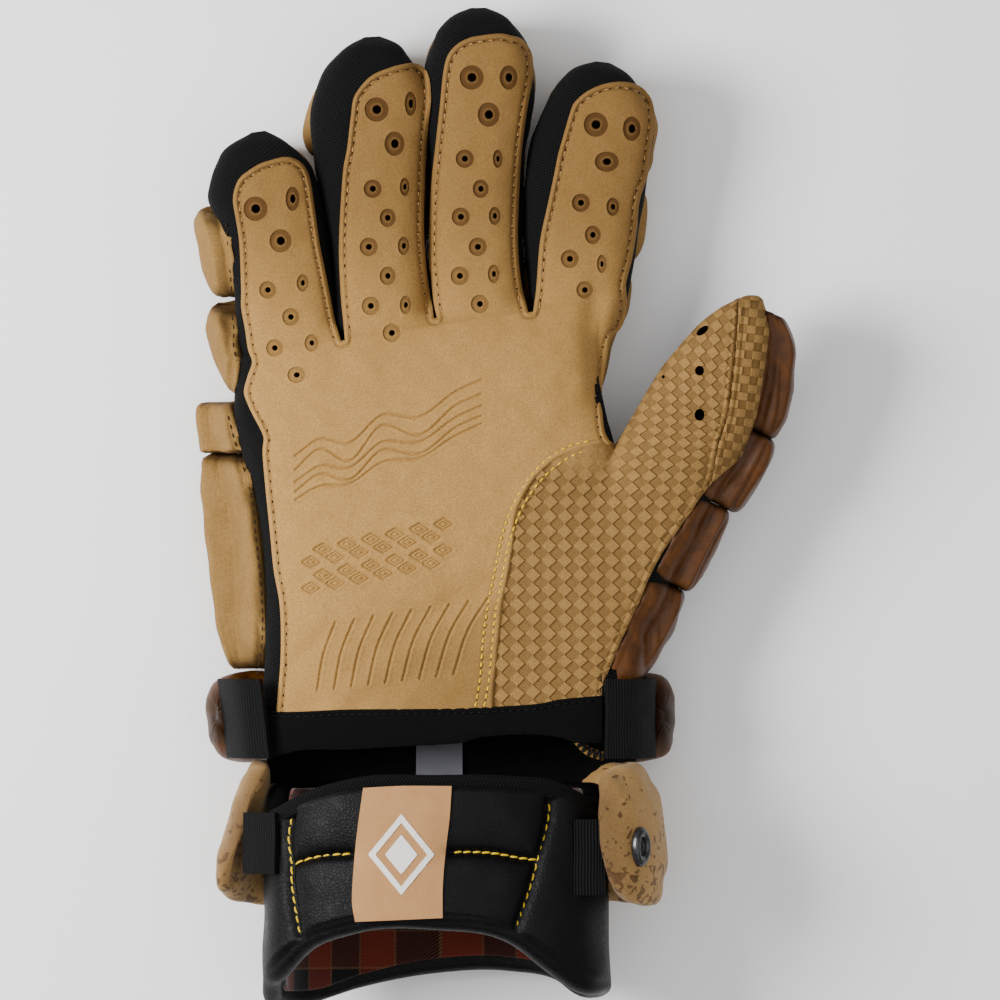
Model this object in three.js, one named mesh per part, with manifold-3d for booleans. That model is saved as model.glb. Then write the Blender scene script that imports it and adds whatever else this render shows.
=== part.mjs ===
// Lacrosse glove for the right hand, lying on its back with the palm up.
// Millimetres. X runs across the palm towards the thumb, Y towards the fingertips, Z up from the
// surface that the glove rests on. The hand is a hollow shell of soft walls, cut into leather panels
// and mesh, with padded rolls on its back and a padded cuff round the forearm.
import * as THREE from "three";
import { mergeVertices } from "three/addons/utils/BufferGeometryUtils.js";
import Module from "manifold-3d";

// Driving sizes
const CLEARANCE = 0.3; // between neighbouring pieces
const WALL = 2; // leather and mesh walls of the hand
const HAND_LENGTH = 132; // wrist seam to the highest crotch between two fingers
const HAND_WIDTH = 132; // hand shell at its widest
const HAND_DEPTH = 34; // hand shell from the back to the palm
const HAND_SLANT = 0.15; // rise of the knuckle line per mm across the palm
const BACK_PAD = 16.5; // padding under the back of the hand
const FINGER_PAD = 12.5; // padding under the fingers
const FINGER_CURL = 8; // rise of the fingertips over the finger roots
const THUMB_RISE = 8; // rise of the thumb tip over the thumb root
const PAD_WRAP = 6; // how far the finger padding comes up the sides of a finger
const PAD_SPACING = 0.8; // between neighbouring rolls of padding
const CUFF_WIDTH = 116; // cuff across, outside
const CUFF_DEPTH = 64; // cuff from back to palm side, outside
const CUFF_WALL = 8; // padded wall of the cuff
const CUFF_LENGTH = 70; // cuff from its top edge at the back to its lowest corner
const LINING = 1.2; // cloth inside the cuff
const TAPE = 1; // binding tape and patch on the cuff
const TAPE_WIDTH = 5.3; // binding tape along the top edge of the cuff
const ELASTIC = 2.4; // side elastics
const BAND_HEIGHT = 12.5; // band along the lower edge of the palm
const WRIST_GAP = 25.2; // wrist seam of the palm to the cuff, at the back
const WRIST_ROLL_HEIGHT = 31; // padded roll across the back of the wrist, along the hand
const WRIST_ROLL_THICKNESS = 16.5;
const SHIELD_HEIGHT = 49; // padded guard round the cuff, along the hand
const SHIELD_THICKNESS = 12;
const EYELET_RADIUS = 6.5;
const EYELET_HOLE = 3;
const EYELET_DEPTH = 1.6;
const EYELET_NARROW = 0.62; // width of the oval ring, as a share of its height
const LABEL_ACROSS = -0.076; // left side of the label, as a share of the hand's width
const LABEL = { width: 15.5, length: 17, thickness: 0.8 };

// Places
const WRIST_Y = -69.5;
const HAND_X = -15;
const HAND_BASE = BACK_PAD + CLEARANCE;
const FINGER_BASE = FINGER_PAD + CLEARANCE;
const CUFF_X = HAND_X - 3.2;
const CUFF_BASE = SHIELD_THICKNESS + CLEARANCE;
const CUFF_Z = CUFF_BASE + CUFF_DEPTH / 2;
const CUFF_TOP = WRIST_Y - WRIST_GAP;
const SKY = 120; // well above everything
const WIDE = 500; // beyond every piece in plan
const RING_SIDES = 12; // points round a section of the hand or the cuff
const ROLL_SIDES = 8; // points round a section of a padded roll

// Squareness of the rounded sections
const STALL_POWER = 2.7;
const HAND_POWER = 3.4;
const ROLL_POWER = 3;
const BENT_POWER = 2.8;
const CUFF_POWER = 2.3;

// Fingers: the root as shares of the hand's width and length, the sizes in millimetres, the lean in
// degrees towards the thumb
const FINGERS = [
  { name: "little", across: -0.392, up: 0.905, length: 73.8, lean: -8.5, width: 36, depth: 24 },
  { name: "ring", across: -0.159, up: 0.905, length: 104.7, lean: -2, width: 38.6, depth: 25 },
  { name: "middle", across: 0.081, up: 0.905, length: 114.3, lean: 0, width: 34, depth: 25 },
  { name: "index", across: 0.303, up: 0.905, length: 97.1, lean: 7.3, width: 38.6, depth: 25 },
];
const THUMB = { name: "thumb", across: 0.389, up: 0.248, length: 115.7, lean: 26, width: 38, depth: 28 };

// Stalls: along is a share of the length, left and right of the half width, deep of the half depth
const STALL_ROWS = {
  little: [
    { along: -0.22, left: -0.85, right: 0.88, deep: 0.95 },
    { along: 0.05, left: -0.92, right: 0.93, deep: 1 },
    { along: 0.5, left: -0.88, right: 1, deep: 1 },
    { along: 0.73, left: -0.94, right: 0.95, deep: 0.97 },
    { along: 0.877, left: -0.68, right: 0.7, deep: 0.8 },
    { along: 0.95, left: -0.44, right: 0.42, deep: 0.55 },
    { along: 1, left: -0.12, right: 0.12, deep: 0.16 },
  ],
  ring: [
    { along: -0.16, left: -0.78, right: 0.76, deep: 0.95 },
    { along: 0.05, left: -0.8, right: 0.8, deep: 1 },
    { along: 0.36, left: -0.86, right: 0.81, deep: 1 },
    { along: 0.6, left: -1.06, right: 0.85, deep: 1 },
    { along: 0.8, left: -1.06, right: 0.94, deep: 0.96 },
    { along: 0.93, left: -0.7, right: 0.62, deep: 0.68 },
    { along: 0.98, left: -0.36, right: 0.36, deep: 0.4 },
    { along: 1, left: -0.1, right: 0.1, deep: 0.12 },
  ],
  middle: [
    { along: -0.15, left: -0.88, right: 0.88, deep: 0.95 },
    { along: 0.05, left: -0.92, right: 0.92, deep: 1 },
    { along: 0.5, left: -0.94, right: 0.86, deep: 1 },
    { along: 0.83, left: -1.04, right: 1.06, deep: 0.95 },
    { along: 0.89, left: -0.92, right: 0.96, deep: 0.84 },
    { along: 0.945, left: -0.72, right: 0.72, deep: 0.65 },
    { along: 0.985, left: -0.38, right: 0.4, deep: 0.36 },
    { along: 1, left: -0.12, right: 0.12, deep: 0.12 },
  ],
  index: [
    { along: -0.15, left: -0.62, right: 0.68, deep: 0.95 },
    { along: 0.03, left: -0.64, right: 0.72, deep: 1 },
    { along: 0.18, left: -0.76, right: 0.92, deep: 1 },
    { along: 0.45, left: -1.04, right: 0.98, deep: 1 },
    { along: 0.7, left: -1.04, right: 1.02, deep: 0.98 },
    { along: 0.84, left: -0.86, right: 0.96, deep: 0.88 },
    { along: 0.92, left: -0.66, right: 0.7, deep: 0.7 },
    { along: 0.98, left: -0.34, right: 0.34, deep: 0.4 },
    { along: 1, left: -0.1, right: 0.1, deep: 0.12 },
  ],
  thumb: [
    { along: -0.16, left: -0.95, right: 0.8, deep: 0.95 },
    { along: 0.05, left: -1.05, right: 0.92, deep: 1 },
    { along: 0.3, left: -1.06, right: 0.92, deep: 1 },
    { along: 0.45, left: -1.03, right: 0.96, deep: 1 },
    { along: 0.6, left: -0.96, right: 1.02, deep: 1 },
    { along: 0.72, left: -0.88, right: 0.98, deep: 0.97 },
    { along: 0.87, left: -0.64, right: 0.7, deep: 0.82 },
    { along: 0.955, left: -0.38, right: 0.44, deep: 0.52 },
    { along: 1, left: -0.1, right: 0.12, deep: 0.14 },
  ],
};

const WIDEST_ALONG = 0.8; // where the fingertips start to round off

// Leather fronts of the fingers, in the same shares as the stalls
const FRONT_ROWS = {
  little: [
    { along: -0.3, left: -0.7, right: 0.8 },
    { along: 0.06, left: -0.8, right: 0.86 },
    { along: 0.48, left: -0.66, right: 0.85 },
    { along: 0.68, left: -0.66, right: 0.8 },
    { along: 0.79, left: -0.48, right: 0.62 },
    { along: 0.85, left: -0.15, right: 0.42 },
  ],
  ring: [
    { along: -0.22, left: -0.6, right: 0.68 },
    { along: 0.05, left: -0.68, right: 0.74 },
    { along: 0.25, left: -0.71, right: 0.76 },
    { along: 0.5, left: -0.63, right: 0.76 },
    { along: 0.77, left: -0.4, right: 0.84 },
    { along: 0.86, left: -0.1, right: 0.78 },
    { along: 0.905, left: 0.2, right: 0.58 },
  ],
  middle: [
    { along: -0.2, left: -0.72, right: 0.76 },
    { along: 0.05, left: -0.82, right: 0.84 },
    { along: 0.35, left: -0.86, right: 0.76 },
    { along: 0.65, left: -0.8, right: 0.84 },
    { along: 0.83, left: -0.66, right: 0.94 },
    { along: 0.89, left: -0.42, right: 0.8 },
    { along: 0.92, left: -0.05, right: 0.55 },
  ],
  index: [
    { along: -0.22, left: -0.5, right: 0.55 },
    { along: 0.05, left: -0.58, right: 0.64 },
    { along: 0.2, left: -0.68, right: 0.82 },
    { along: 0.5, left: -0.62, right: 0.88 },
    { along: 0.7, left: -0.53, right: 0.92 },
    { along: 0.84, left: -0.42, right: 0.86 },
    { along: 0.9, left: -0.15, right: 0.66 },
    { along: 0.925, left: 0.1, right: 0.5 },
  ],
};

// Hand shell: up is a share of the hand's length from the wrist seam, left and right are shares of
// its width, bottom and top shares of its depth, slant a share of the knuckle line's slant
const HAND_ROWS = [
  { up: -0.2, left: -0.447, right: 0.47, bottom: 0, top: 0.9, slant: 0 },
  { up: 0, left: -0.46, right: 0.492, bottom: 0, top: 0.94, slant: 0 },
  { up: 0.25, left: -0.455, right: 0.5, bottom: 0, top: 1, slant: 0 },
  { up: 0.5, left: -0.473, right: 0.485, bottom: 0, top: 1, slant: 0 },
  { up: 0.68, left: -0.518, right: 0.44, bottom: 0, top: 0.98, slant: 0.3 },
  { up: 0.8, left: -0.535, right: 0.412, bottom: 0, top: 0.9, slant: 0.6 },
  { up: 0.9, left: -0.53, right: 0.408, bottom: -0.05, top: 0.77, slant: 0.9 },
  { up: 0.97, left: -0.515, right: 0.415, bottom: -0.08, top: 0.66, slant: 1 },
];

// Edges of the palm leather between the wrist seam and the fingers, as shares of the hand
const PALM_LEFT_EDGE = [
  { across: -0.43, up: 0 },
  { across: -0.42, up: 0.24 },
  { across: -0.443, up: 0.52 },
  { across: -0.455, up: 0.66 },
  { across: -0.5, up: 0.77 },
  { across: -0.49, up: 0.86 },
];
// Seam between the palm and the thumb leather, from the wrist up to the crotch of the thumb
const THUMB_SEAM = [
  { across: 0.119, up: 0 },
  { across: 0.136, up: 0.195 },
  { across: 0.169, up: 0.4 },
  { across: 0.182, up: 0.5 },
  { across: 0.225, up: 0.581 },
  { across: 0.276, up: 0.627 },
  { across: 0.36, up: 0.655 },
  { across: 0.45, up: 0.668 },
];
// Top edge of the palm leather, through the crotches from the thumb to the little finger
const PALM_TOP_EDGE = [
  { across: 0.45, up: 0.72 },
  { across: 0.4, up: 0.8 },
  { across: 0.39, up: 0.87 },
  { across: 0.3, up: 0.96 },
  { across: 0.21, up: 0.995 },
  { across: 0.08, up: 0.97 },
  { across: -0.03, up: 0.975 },
  { across: -0.15, up: 0.94 },
  { across: -0.265, up: 0.925 },
];
// Boundary between the thumb's mesh and the mesh of the hand and the index finger
const THUMB_FIELD = [
  { across: 0.43, up: 0.68 },
  { across: 0.41, up: 0.4 },
  { across: 0.45, up: 0.1 },
  { across: 0.47, up: 0.03 },
  { across: 2, up: 0.03 },
  { across: 2, up: 3 },
  { across: 0.68, up: 3 },
  { across: 0.68, up: 1.17 },
  { across: 0.553, up: 0.996 },
  { across: 0.477, up: 0.867 },
];
const KNUCKLE_UP = 0.93; // seam between the fingers and the back of the hand
const FIELD_UP = 0.7; // foot of the fields that part the fingers
const FIELD_STEP = 22.5; // steps of the line between two fingers
// Outer edge of the thumb leather, from the wrist up, as shares of the hand
const THUMB_OUTER_EDGE = [
  { across: 0.396, up: 0 },
  { across: 0.4, up: 0.1 },
  { across: 0.46, up: 0.21 },
];
// The same edge on the thumb, and the seam and outer edge of the strip: shares of the thumb's size
const THUMB_FRONT_EDGE = [
  { along: 0.226, side: 0.54 },
  { along: 0.365, side: 0.67 },
  { along: 0.44, side: 0.76 },
  { along: 0.5, side: 0.8 },
];
const STRIP_SEAM = [
  { along: 0.5, side: 0.72 },
  { along: 0.6, side: 0.62 },
  { along: 0.7, side: 0.42 },
  { along: 0.85, side: 0.1 },
  { along: 0.97, side: -0.12 },
];
// Places past the thumb's tip that close the outline of its leather
const THUMB_BEYOND = [
  { along: 1.1, side: -0.2 },
  { along: 1.1, side: -2 },
];
const STRIP_OUTER_EDGE = [
  { along: 0.94, side: 0.36 },
  { along: 0.85, side: 0.55 },
  { along: 0.7, side: 0.88 },
  { along: 0.6, side: 0.95 },
];

// Padded rolls on the fingers: from and to are shares of the length, left and right how far a roll
// stands out past the stall, in shares of the half width
const FINGER_ROLLS = [
  { finger: "little", row: "distal", from: 0.72, to: 0.97, left: 0.19, right: 0.02 },
  { finger: "little", row: "middle", from: 0.285, to: 0.705, left: 0.52, right: 0.02 },
  { finger: "little", row: "proximal", from: -0.215, to: 0.27, left: 0.44, right: 0.02 },
  { finger: "ring", row: "distal", from: 0.62, to: 0.965, left: 0.2, right: 0.02 },
  { finger: "ring", row: "middle", from: 0.32, to: 0.607, left: 0.05, right: 0.05 },
  { finger: "ring", row: "proximal", from: -0.15, to: 0.308, left: 0.1, right: 0.1 },
  { finger: "middle", row: "distal", from: 0.64, to: 0.97, left: 0.02, right: 0.02 },
  { finger: "middle", row: "middle", from: 0.34, to: 0.628, left: 0.05, right: 0.05 },
  { finger: "middle", row: "proximal", from: -0.135, to: 0.328, left: 0.05, right: 0.05 },
  { finger: "index", row: "distal", from: 0.6, to: 0.965, left: 0.02, right: 0.07 },
  { finger: "index", row: "middle", from: 0.32, to: 0.587, left: 0.05, right: 0.12 },
  { finger: "index", row: "proximal", from: -0.16, to: 0.307, left: 0.15, right: 0.1 },
];
// Rolls on the thumb, with out as left and right above
const THUMB_ROLLS = [
  { name: "thumb_cap", from: 0.665, to: 0.985, out: 0.5 },
  { name: "thumb_roll_upper", from: 0.425, to: 0.655, out: 0.53 },
  { name: "thumb_roll_middle", from: 0.165, to: 0.415, out: 0.42 },
  { name: "thumb_roll_lower", from: -0.13, to: 0.155, out: 0.34 },
];
const THUMB_PAD = { left: -0.3, under: 9, wrap: 17 };
const ROLL_TAPER = 0.5; // how much of a roll's rounding shows in its width
const PAD_TAPER = 0.4; // the same for the padding on the back of the hand
// How a roll rounds off towards its ends
const ROLL_ENDS = [
  { at: 0, size: 0.68 },
  { at: 0.14, size: 0.96 },
  { at: 0.5, size: 1 },
  { at: 0.86, size: 0.96 },
  { at: 1, size: 0.68 },
];

// Padding on the back of the hand: four columns whose edges run from the wrist to the knuckles
const BACK_EDGES = [
  { wrist: -0.545, knuckles: -0.628 },
  { wrist: -0.29, knuckles: -0.358 },
  { wrist: -0.04, knuckles: -0.1 },
  { wrist: 0.21, knuckles: 0.158 },
  { wrist: 0.455, knuckles: 0.405 },
];
const BACK_COLUMNS = ["little", "ring", "middle", "index"];
const BACK_ROWS = [
  { name: "back_pad", from: 0.1, to: 0.64 },
  { name: "knuckle_pad", from: 0.646, to: 0.775 },
];
const KNUCKLE_ROW_UP = 0.775; // top of the knuckle pads, where the column edges end
const BACK_WRAP = 6; // how far the outer columns come up the sides of the hand
const FLATTENED = 0.6; // how much of the padding is pressed flat where it rests

// Roll across the back of the wrist: side is a share of the hand's width, rise a share of its depth
const WRIST_ROLL_ROWS = [
  { side: -0.575, rise: 0.66, size: 0.5 },
  { side: -0.562, rise: 0.45, size: 0.82 },
  { side: -0.515, rise: 0.15, size: 1 },
  { side: -0.4, rise: 0, size: 1 },
  { side: -0.02, rise: 0, size: 1 },
  { side: 0.4, rise: 0, size: 1 },
  { side: 0.49, rise: 0.15, size: 1 },
  { side: 0.537, rise: 0.45, size: 0.82 },
  { side: 0.55, rise: 0.66, size: 0.5 },
];
const WRIST_ROLL_UP = -0.022; // middle of the roll, as a share of the hand's length from the seam

// Guard round the cuff: turn in degrees from straight down, down as a share of the cuff's length,
// long and thick as shares of the guard's height and thickness, stand off from the sides of the cuff in
// millimetres, and lean of the ends across the guard's height
const SHIELD_ROWS = [
  { turn: -97, down: 0.2, long: 0.6, thick: 0.5, stand: 7, lean: 0.3 },
  { turn: -92, down: 0.2, long: 0.8, thick: 0.85, stand: 7, lean: 0.3 },
  { turn: -80, down: 0.205, long: 0.93, thick: 1, stand: 8, lean: 0.24 },
  { turn: -62, down: 0.225, long: 1, thick: 1, stand: 10, lean: 0.12 },
  { turn: -40, down: 0.235, long: 1, thick: 1, stand: 11.5, lean: 0 },
  { turn: 0, down: 0.235, long: 1, thick: 1, stand: 11.5, lean: 0 },
  { turn: 40, down: 0.235, long: 1, thick: 1, stand: 11.5, lean: 0 },
  { turn: 62, down: 0.235, long: 1, thick: 1, stand: 11.5, lean: -0.04 },
  { turn: 80, down: 0.235, long: 1, thick: 1, stand: 11.5, lean: -0.08 },
  { turn: 94, down: 0.235, long: 1, thick: 1, stand: 11.5, lean: -0.12 },
  { turn: 108, down: 0.235, long: 0.98, thick: 1, stand: 11.5, lean: -0.12 },
  { turn: 118, down: 0.235, long: 0.95, thick: 0.97, stand: 11.5, lean: -0.12 },
  { turn: 126, down: 0.235, long: 0.9, thick: 0.9, stand: 11.5, lean: -0.12 },
  { turn: 131, down: 0.235, long: 0.75, thick: 0.55, stand: 11.5, lean: -0.12 },
];
const SHIELD_STAND_OFF = 11.5; // room between the cuff and the middle of the guard at the thumb side

// Cuff sections: down is a share of the cuff's length, wide and deep are shares of its sizes
const CUFF_ROWS = [
  { down: -0.2, wide: 0.955, deep: 0.94 },
  { down: 0.25, wide: 0.975, deep: 0.99 },
  { down: 0.6, wide: 0.99, deep: 1 },
  { down: 1.1, wide: 1.005, deep: 1 },
];
// Rims of the cuff: side is a share of its half width, the rest are shares of its length below the
// back edge of the wrist gap
const CUFF_RIMS = [
  { side: -1.1, palmTop: 0.16, palmRim: 0.93, backRim: 0.97 },
  { side: -0.97, palmTop: 0.125, palmRim: 0.88, backRim: 0.995 },
  { side: -0.8, palmTop: 0.05, palmRim: 0.74, backRim: 0.99 },
  { side: -0.5, palmTop: -0.02, palmRim: 0.64, backRim: 0.92 },
  { side: 0, palmTop: -0.035, palmRim: 0.62, backRim: 0.845 },
  { side: 0.45, palmTop: -0.03, palmRim: 0.685, backRim: 0.835 },
  { side: 0.75, palmTop: 0, palmRim: 0.86, backRim: 0.88 },
  { side: 0.9, palmTop: 0.06, palmRim: 0.93, backRim: 0.955 },
  { side: 1.1, palmTop: 0.1, palmRim: 0.9, backRim: 0.92 },
];
const CUFF_HEM = 1.6; // how far the lining stops short of the rims
// Patch on the palm side of the cuff, with its sides and ends in the same shares
const PATCH = { left: -0.44, right: 0.07, top: 0.045, bottom: 0.615 };

// Side elastics: the line of the strap from the palm down to the wrist roll, side as a share of the
// hand's width and rise as a share of its depth
const ELASTIC_ROWS = {
  left: [
    { side: -0.4, rise: 1.0 },
    { side: -0.475, rise: 0.86 },
    { side: -0.51, rise: 0.6 },
    { side: -0.53, rise: 0.34 },
  ],
  right: [
    { side: 0.405, rise: 1.02 },
    { side: 0.5, rise: 0.84 },
    { side: 0.525, rise: 0.6 },
    { side: 0.54, rise: 0.34 },
  ],
};
const ELASTIC_UP = { from: -0.125, to: 0.075 };
// Lower elastics from the cuff to the ends of the guard: turn and down as for the guard, stand as a
// share of the room between the cuff and the middle of the guard
const GUSSETS = {
  left: {
    from: 0.13,
    to: 0.42,
    line: [
      { turn: -118, stand: 0.03 },
      { turn: -109, stand: 0.22 },
      { turn: -101, stand: 0.45 },
    ],
  },
  right: {
    from: 0.16,
    to: 0.52,
    line: [
      { turn: 131, stand: 0.03 },
      { turn: 126, stand: 0.25 },
      { turn: 121, stand: 0.5 },
    ],
  },
};
// Eyelet near the thumb end of the guard, in the guard's own measures; step is the turn over which
// the guard's slope is read
const EYELET = { turn: 117, down: 0.29, step: 3 };

const wasm = await Module();
wasm.setup();

// Closed mesh through sections that hold the same number of points, closed with a fan at each end
function loft(sections) {
  const sides = sections[0].length;
  const positions = [];
  const index = [];
  sections.flat().forEach((point) => positions.push(...point));
  const endMiddles = [sections[0], sections[sections.length - 1]].map((section) => {
    const add = (total, point) => total.map((value, axis) => value + point[axis]);
    const sum = section.reduce(add, [0, 0, 0]);
    positions.push(...sum.map((value) => value / sides));
    return positions.length / 3 - 1;
  });
  const lastStart = (sections.length - 1) * sides;
  for (let side = 0; side < sides; side += 1) {
    const next = (side + 1) % sides;
    for (let start = 0; start < lastStart; start += sides) {
      index.push(start + side, start + next, start + sides + next);
      index.push(start + side, start + sides + next, start + sides + side);
    }
    index.push(endMiddles[0], next, side);
    index.push(endMiddles[1], lastStart + side, lastStart + next);
  }
  return new THREE.BufferGeometry()
    .setAttribute("position", new THREE.BufferAttribute(new Float32Array(positions), 3))
    .setIndex(index);
}

// Solid of a closed mesh, with its faces turned outwards
function solidOf(geometry) {
  const bare = geometry.clone();
  bare.deleteAttribute("normal");
  bare.deleteAttribute("uv");
  const merged = mergeVertices(bare, 1e-4);
  const vertices = new Float32Array(merged.attributes.position.array);
  const triangles = new Uint32Array(merged.index.array);
  if (signedVolume(vertices, triangles) < 0) {
    for (let corner = 0; corner < triangles.length; corner += 3) {
      const first = triangles[corner];
      triangles[corner] = triangles[corner + 1];
      triangles[corner + 1] = first;
    }
  }
  return new wasm.Manifold(new wasm.Mesh({ numProp: 3, vertProperties: vertices, triVerts: triangles }));
}

function signedVolume(vertices, triangles) {
  const corners = [new THREE.Vector3(), new THREE.Vector3(), new THREE.Vector3()];
  let volume = 0;
  for (let start = 0; start < triangles.length; start += 3) {
    corners.forEach((corner, place) => corner.fromArray(vertices, triangles[start + place] * 3));
    volume += corners[0].dot(corners[1].clone().cross(corners[2])) / 6;
  }
  return volume;
}

// The largest body of a solid, without the slivers that a cut can leave
function mainBody(solid) {
  return solid.decompose().sort((one, other) => other.volume() - one.volume())[0];
}

const joined = (solids) => solids.reduce((whole, solid) => whole.add(solid));

// Rounded section in the plane of the unit vector across and Z, with flat sides as power rises
function section(middle, across, halfWidth, halfHeight, power, sides = RING_SIDES) {
  return Array.from({ length: sides }, (_, side) => {
    const turn = ((side + 0.5) / sides) * Math.PI * 2;
    const wide = Math.sign(Math.cos(turn)) * Math.abs(Math.cos(turn)) ** (2 / power) * halfWidth;
    const high = Math.sign(Math.sin(turn)) * Math.abs(Math.sin(turn)) ** (2 / power) * halfHeight;
    return [middle[0] + across[0] * wide, middle[1] + across[1] * wide, middle[2] + high];
  });
}

// Upright prism over an outline in the XY plane
function prism(outline, bottom, top) {
  const shape = new THREE.Shape(outline.map(([x, y]) => new THREE.Vector2(x, y)));
  const geometry = new THREE.ExtrudeGeometry(shape, { depth: top - bottom, bevelEnabled: false });
  return solidOf(geometry.translate(0, 0, bottom));
}

const cuffY = (down) => CUFF_TOP - CUFF_LENGTH * down;
const handX = (share) => HAND_X + share * HAND_WIDTH;
const handY = (share) => WRIST_Y + share * HAND_LENGTH;

// Frame of a finger or the thumb: its direction, the direction across it, and points in its shares
function frameOf(digit) {
  const lean = THREE.MathUtils.degToRad(digit.lean);
  const direction = [Math.sin(lean), Math.cos(lean)];
  const across = [Math.cos(lean), -Math.sin(lean)];
  const root = [handX(digit.across), handY(digit.up)];
  const isThumb = digit === THUMB;
  const base = isThumb ? HAND_BASE + HAND_DEPTH / 2 : FINGER_BASE + digit.depth / 2;
  const rise = isThumb ? THUMB_RISE : FINGER_CURL;
  const point = (along, side) => [
    root[0] + direction[0] * along * digit.length + (across[0] * side * digit.width) / 2,
    root[1] + direction[1] * along * digit.length + (across[1] * side * digit.width) / 2,
  ];
  const height = (along) => base + rise * Math.max(along, 0) ** 2;
  return { direction, across, point, height };
}

// Stall of a digit, grown by a margin on every side
function stall(digit, margin) {
  const frame = frameOf(digit);
  const longer = (digit.length + margin) / digit.length;
  const wider = (digit.width / 2 + margin) / (digit.width / 2);
  const sections = STALL_ROWS[digit.name].map((row) => {
    const side = ((row.left + row.right) / 2) * wider;
    const halfWidth = ((row.right - row.left) / 2) * (digit.width / 2 + margin);
    const middle = [...frame.point(row.along * longer, side), frame.height(row.along)];
    return section(middle, frame.across, halfWidth, row.deep * (digit.depth / 2 + margin), STALL_POWER);
  });
  return solidOf(loft(sections));
}

// Left or right edge of a stall, as a share of its half width
function edgeShare(digit, edge, along) {
  const rows = STALL_ROWS[digit.name];
  const next = Math.max(rows.findIndex((row) => row.along >= along), 1);
  const mix = (along - rows[next - 1].along) / (rows[next].along - rows[next - 1].along);
  return THREE.MathUtils.lerp(rows[next - 1][edge], rows[next][edge], Math.max(mix, 0));
}

// The same edge as a place on the X axis, at a height on the Y axis; past the tip it runs straight on
function stallEdge(digit, edge, y) {
  const frame = frameOf(digit);
  const along = (y - frame.point(0, 0)[1]) / (digit.length * frame.direction[1]);
  return frame.point(along, edgeShare(digit, edge, Math.min(along, WIDEST_ALONG)))[0];
}

// Plan outline that belongs to one finger, between the lines midway to its neighbours
function fingerField(finger, inset) {
  const place = FINGERS.indexOf(finger);
  const heights = Array.from({ length: 9 }, (_, step) => handY(FIELD_UP) + step * FIELD_STEP);
  const midway = (left, right, y) => (stallEdge(left, "right", y) + stallEdge(right, "left", y)) / 2;
  const leftLine = heights.map((y) => {
    const x = place > 0 ? midway(FINGERS[place - 1], finger, y) : handX(-1);
    return [x + CLEARANCE / 2 + inset, y];
  });
  const rightLine = heights.map((y) => {
    const x = place < FINGERS.length - 1 ? midway(finger, FINGERS[place + 1], y) : handX(1);
    return [x - CLEARANCE / 2 - inset, y];
  });
  return prism([...rightLine, ...leftLine.reverse()], -SKY, SKY);
}

// Shell of the palm and the back of the hand, grown by a margin on every side
function handBody(margin) {
  const sections = HAND_ROWS.map((row, place) => {
    const isEnd = place === HAND_ROWS.length - 1;
    const left = handX(row.left) - margin;
    const right = handX(row.right) + margin;
    const bottom = HAND_BASE + row.bottom * HAND_DEPTH - margin;
    const top = HAND_BASE + row.top * HAND_DEPTH + margin;
    const middle = [(left + right) / 2, handY(row.up) + (isEnd ? margin : 0), (bottom + top) / 2];
    const flat = section(middle, [1, 0], (right - left) / 2, (top - bottom) / 2, HAND_POWER);
    return flat.map(([x, y, z]) => [x, y + (x - HAND_X) * HAND_SLANT * row.slant, z]);
  });
  return solidOf(loft(sections));
}

const block = (left, right, low, high, bottom, top) =>
  prism([[left, low], [right, low], [right, high], [left, high]], bottom, top);
const belowWrist = block(-WIDE, WIDE, -WIDE, CUFF_TOP + CLEARANCE, -SKY, SKY);
const underFloor = block(-WIDE, WIDE, -WIDE, WIDE, -SKY, 0);

function handOuter(margin) {
  const fingers = FINGERS.map((finger) => stall(finger, margin).intersect(fingerField(finger, -margin)));
  return joined([handBody(margin), stall(THUMB, margin), ...fingers]);
}

const cavities = joined([
  handBody(-WALL),
  stall(THUMB, -WALL),
  ...FINGERS.map((finger) => stall(finger, -WALL).intersect(fingerField(finger, WALL))),
]);
const shell = handOuter(0).subtract(cavities).subtract(belowWrist);
const handSurround = handOuter(CLEARANCE);

// Tool that takes the front half of a finger between the edges of its leather
function frontTool(finger, margin) {
  const frame = frameOf(finger);
  const extra = margin / (finger.width / 2);
  const rows = FRONT_ROWS[finger.name];
  const sections = rows.map((row, place) => {
    const along = row.along + (place === rows.length - 1 ? margin / finger.length : 0);
    const bottom = frame.height(row.along) - margin;
    const [leftX, leftY] = frame.point(along, row.left - extra);
    const [rightX, rightY] = frame.point(along, row.right + extra);
    return [
      [leftX, leftY, bottom],
      [rightX, rightY, bottom],
      [rightX, rightY, SKY],
      [leftX, leftY, SKY],
    ];
  });
  return solidOf(loft(sections));
}

const handPoint = ({ across, up }) => [handX(across), handY(up)];
const thumbFrame = frameOf(THUMB);
const thumbPoint = ({ along, side }) => thumbFrame.point(along, side);
const palmSplit = HAND_BASE + HAND_DEPTH / 2;

// Outline with every edge moved out by a margin
function grown(outline, margin) {
  const turn = Math.sign(THREE.ShapeUtils.area(outline.map(([x, y]) => new THREE.Vector2(x, y))));
  const normals = outline.map(([x, y], place) => {
    const [nextX, nextY] = outline[(place + 1) % outline.length];
    const reach = Math.hypot(nextX - x, nextY - y);
    return [((nextY - y) / reach) * turn, ((x - nextX) / reach) * turn];
  });
  return outline.map(([x, y], place) => {
    const [beforeX, beforeY] = normals[(place + outline.length - 1) % outline.length];
    const [afterX, afterY] = normals[place];
    const stretch = margin / Math.max(1 + beforeX * afterX + beforeY * afterY, 0.5);
    return [x + (beforeX + afterX) * stretch, y + (beforeY + afterY) * stretch];
  });
}

// Tools of the leather panels, grown by a margin
function palmTool(margin) {
  const outline = [...THUMB_SEAM, ...PALM_TOP_EDGE, ...[...PALM_LEFT_EDGE].reverse()].map(handPoint);
  return prism(grown(outline, margin), palmSplit - margin, SKY);
}

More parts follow.
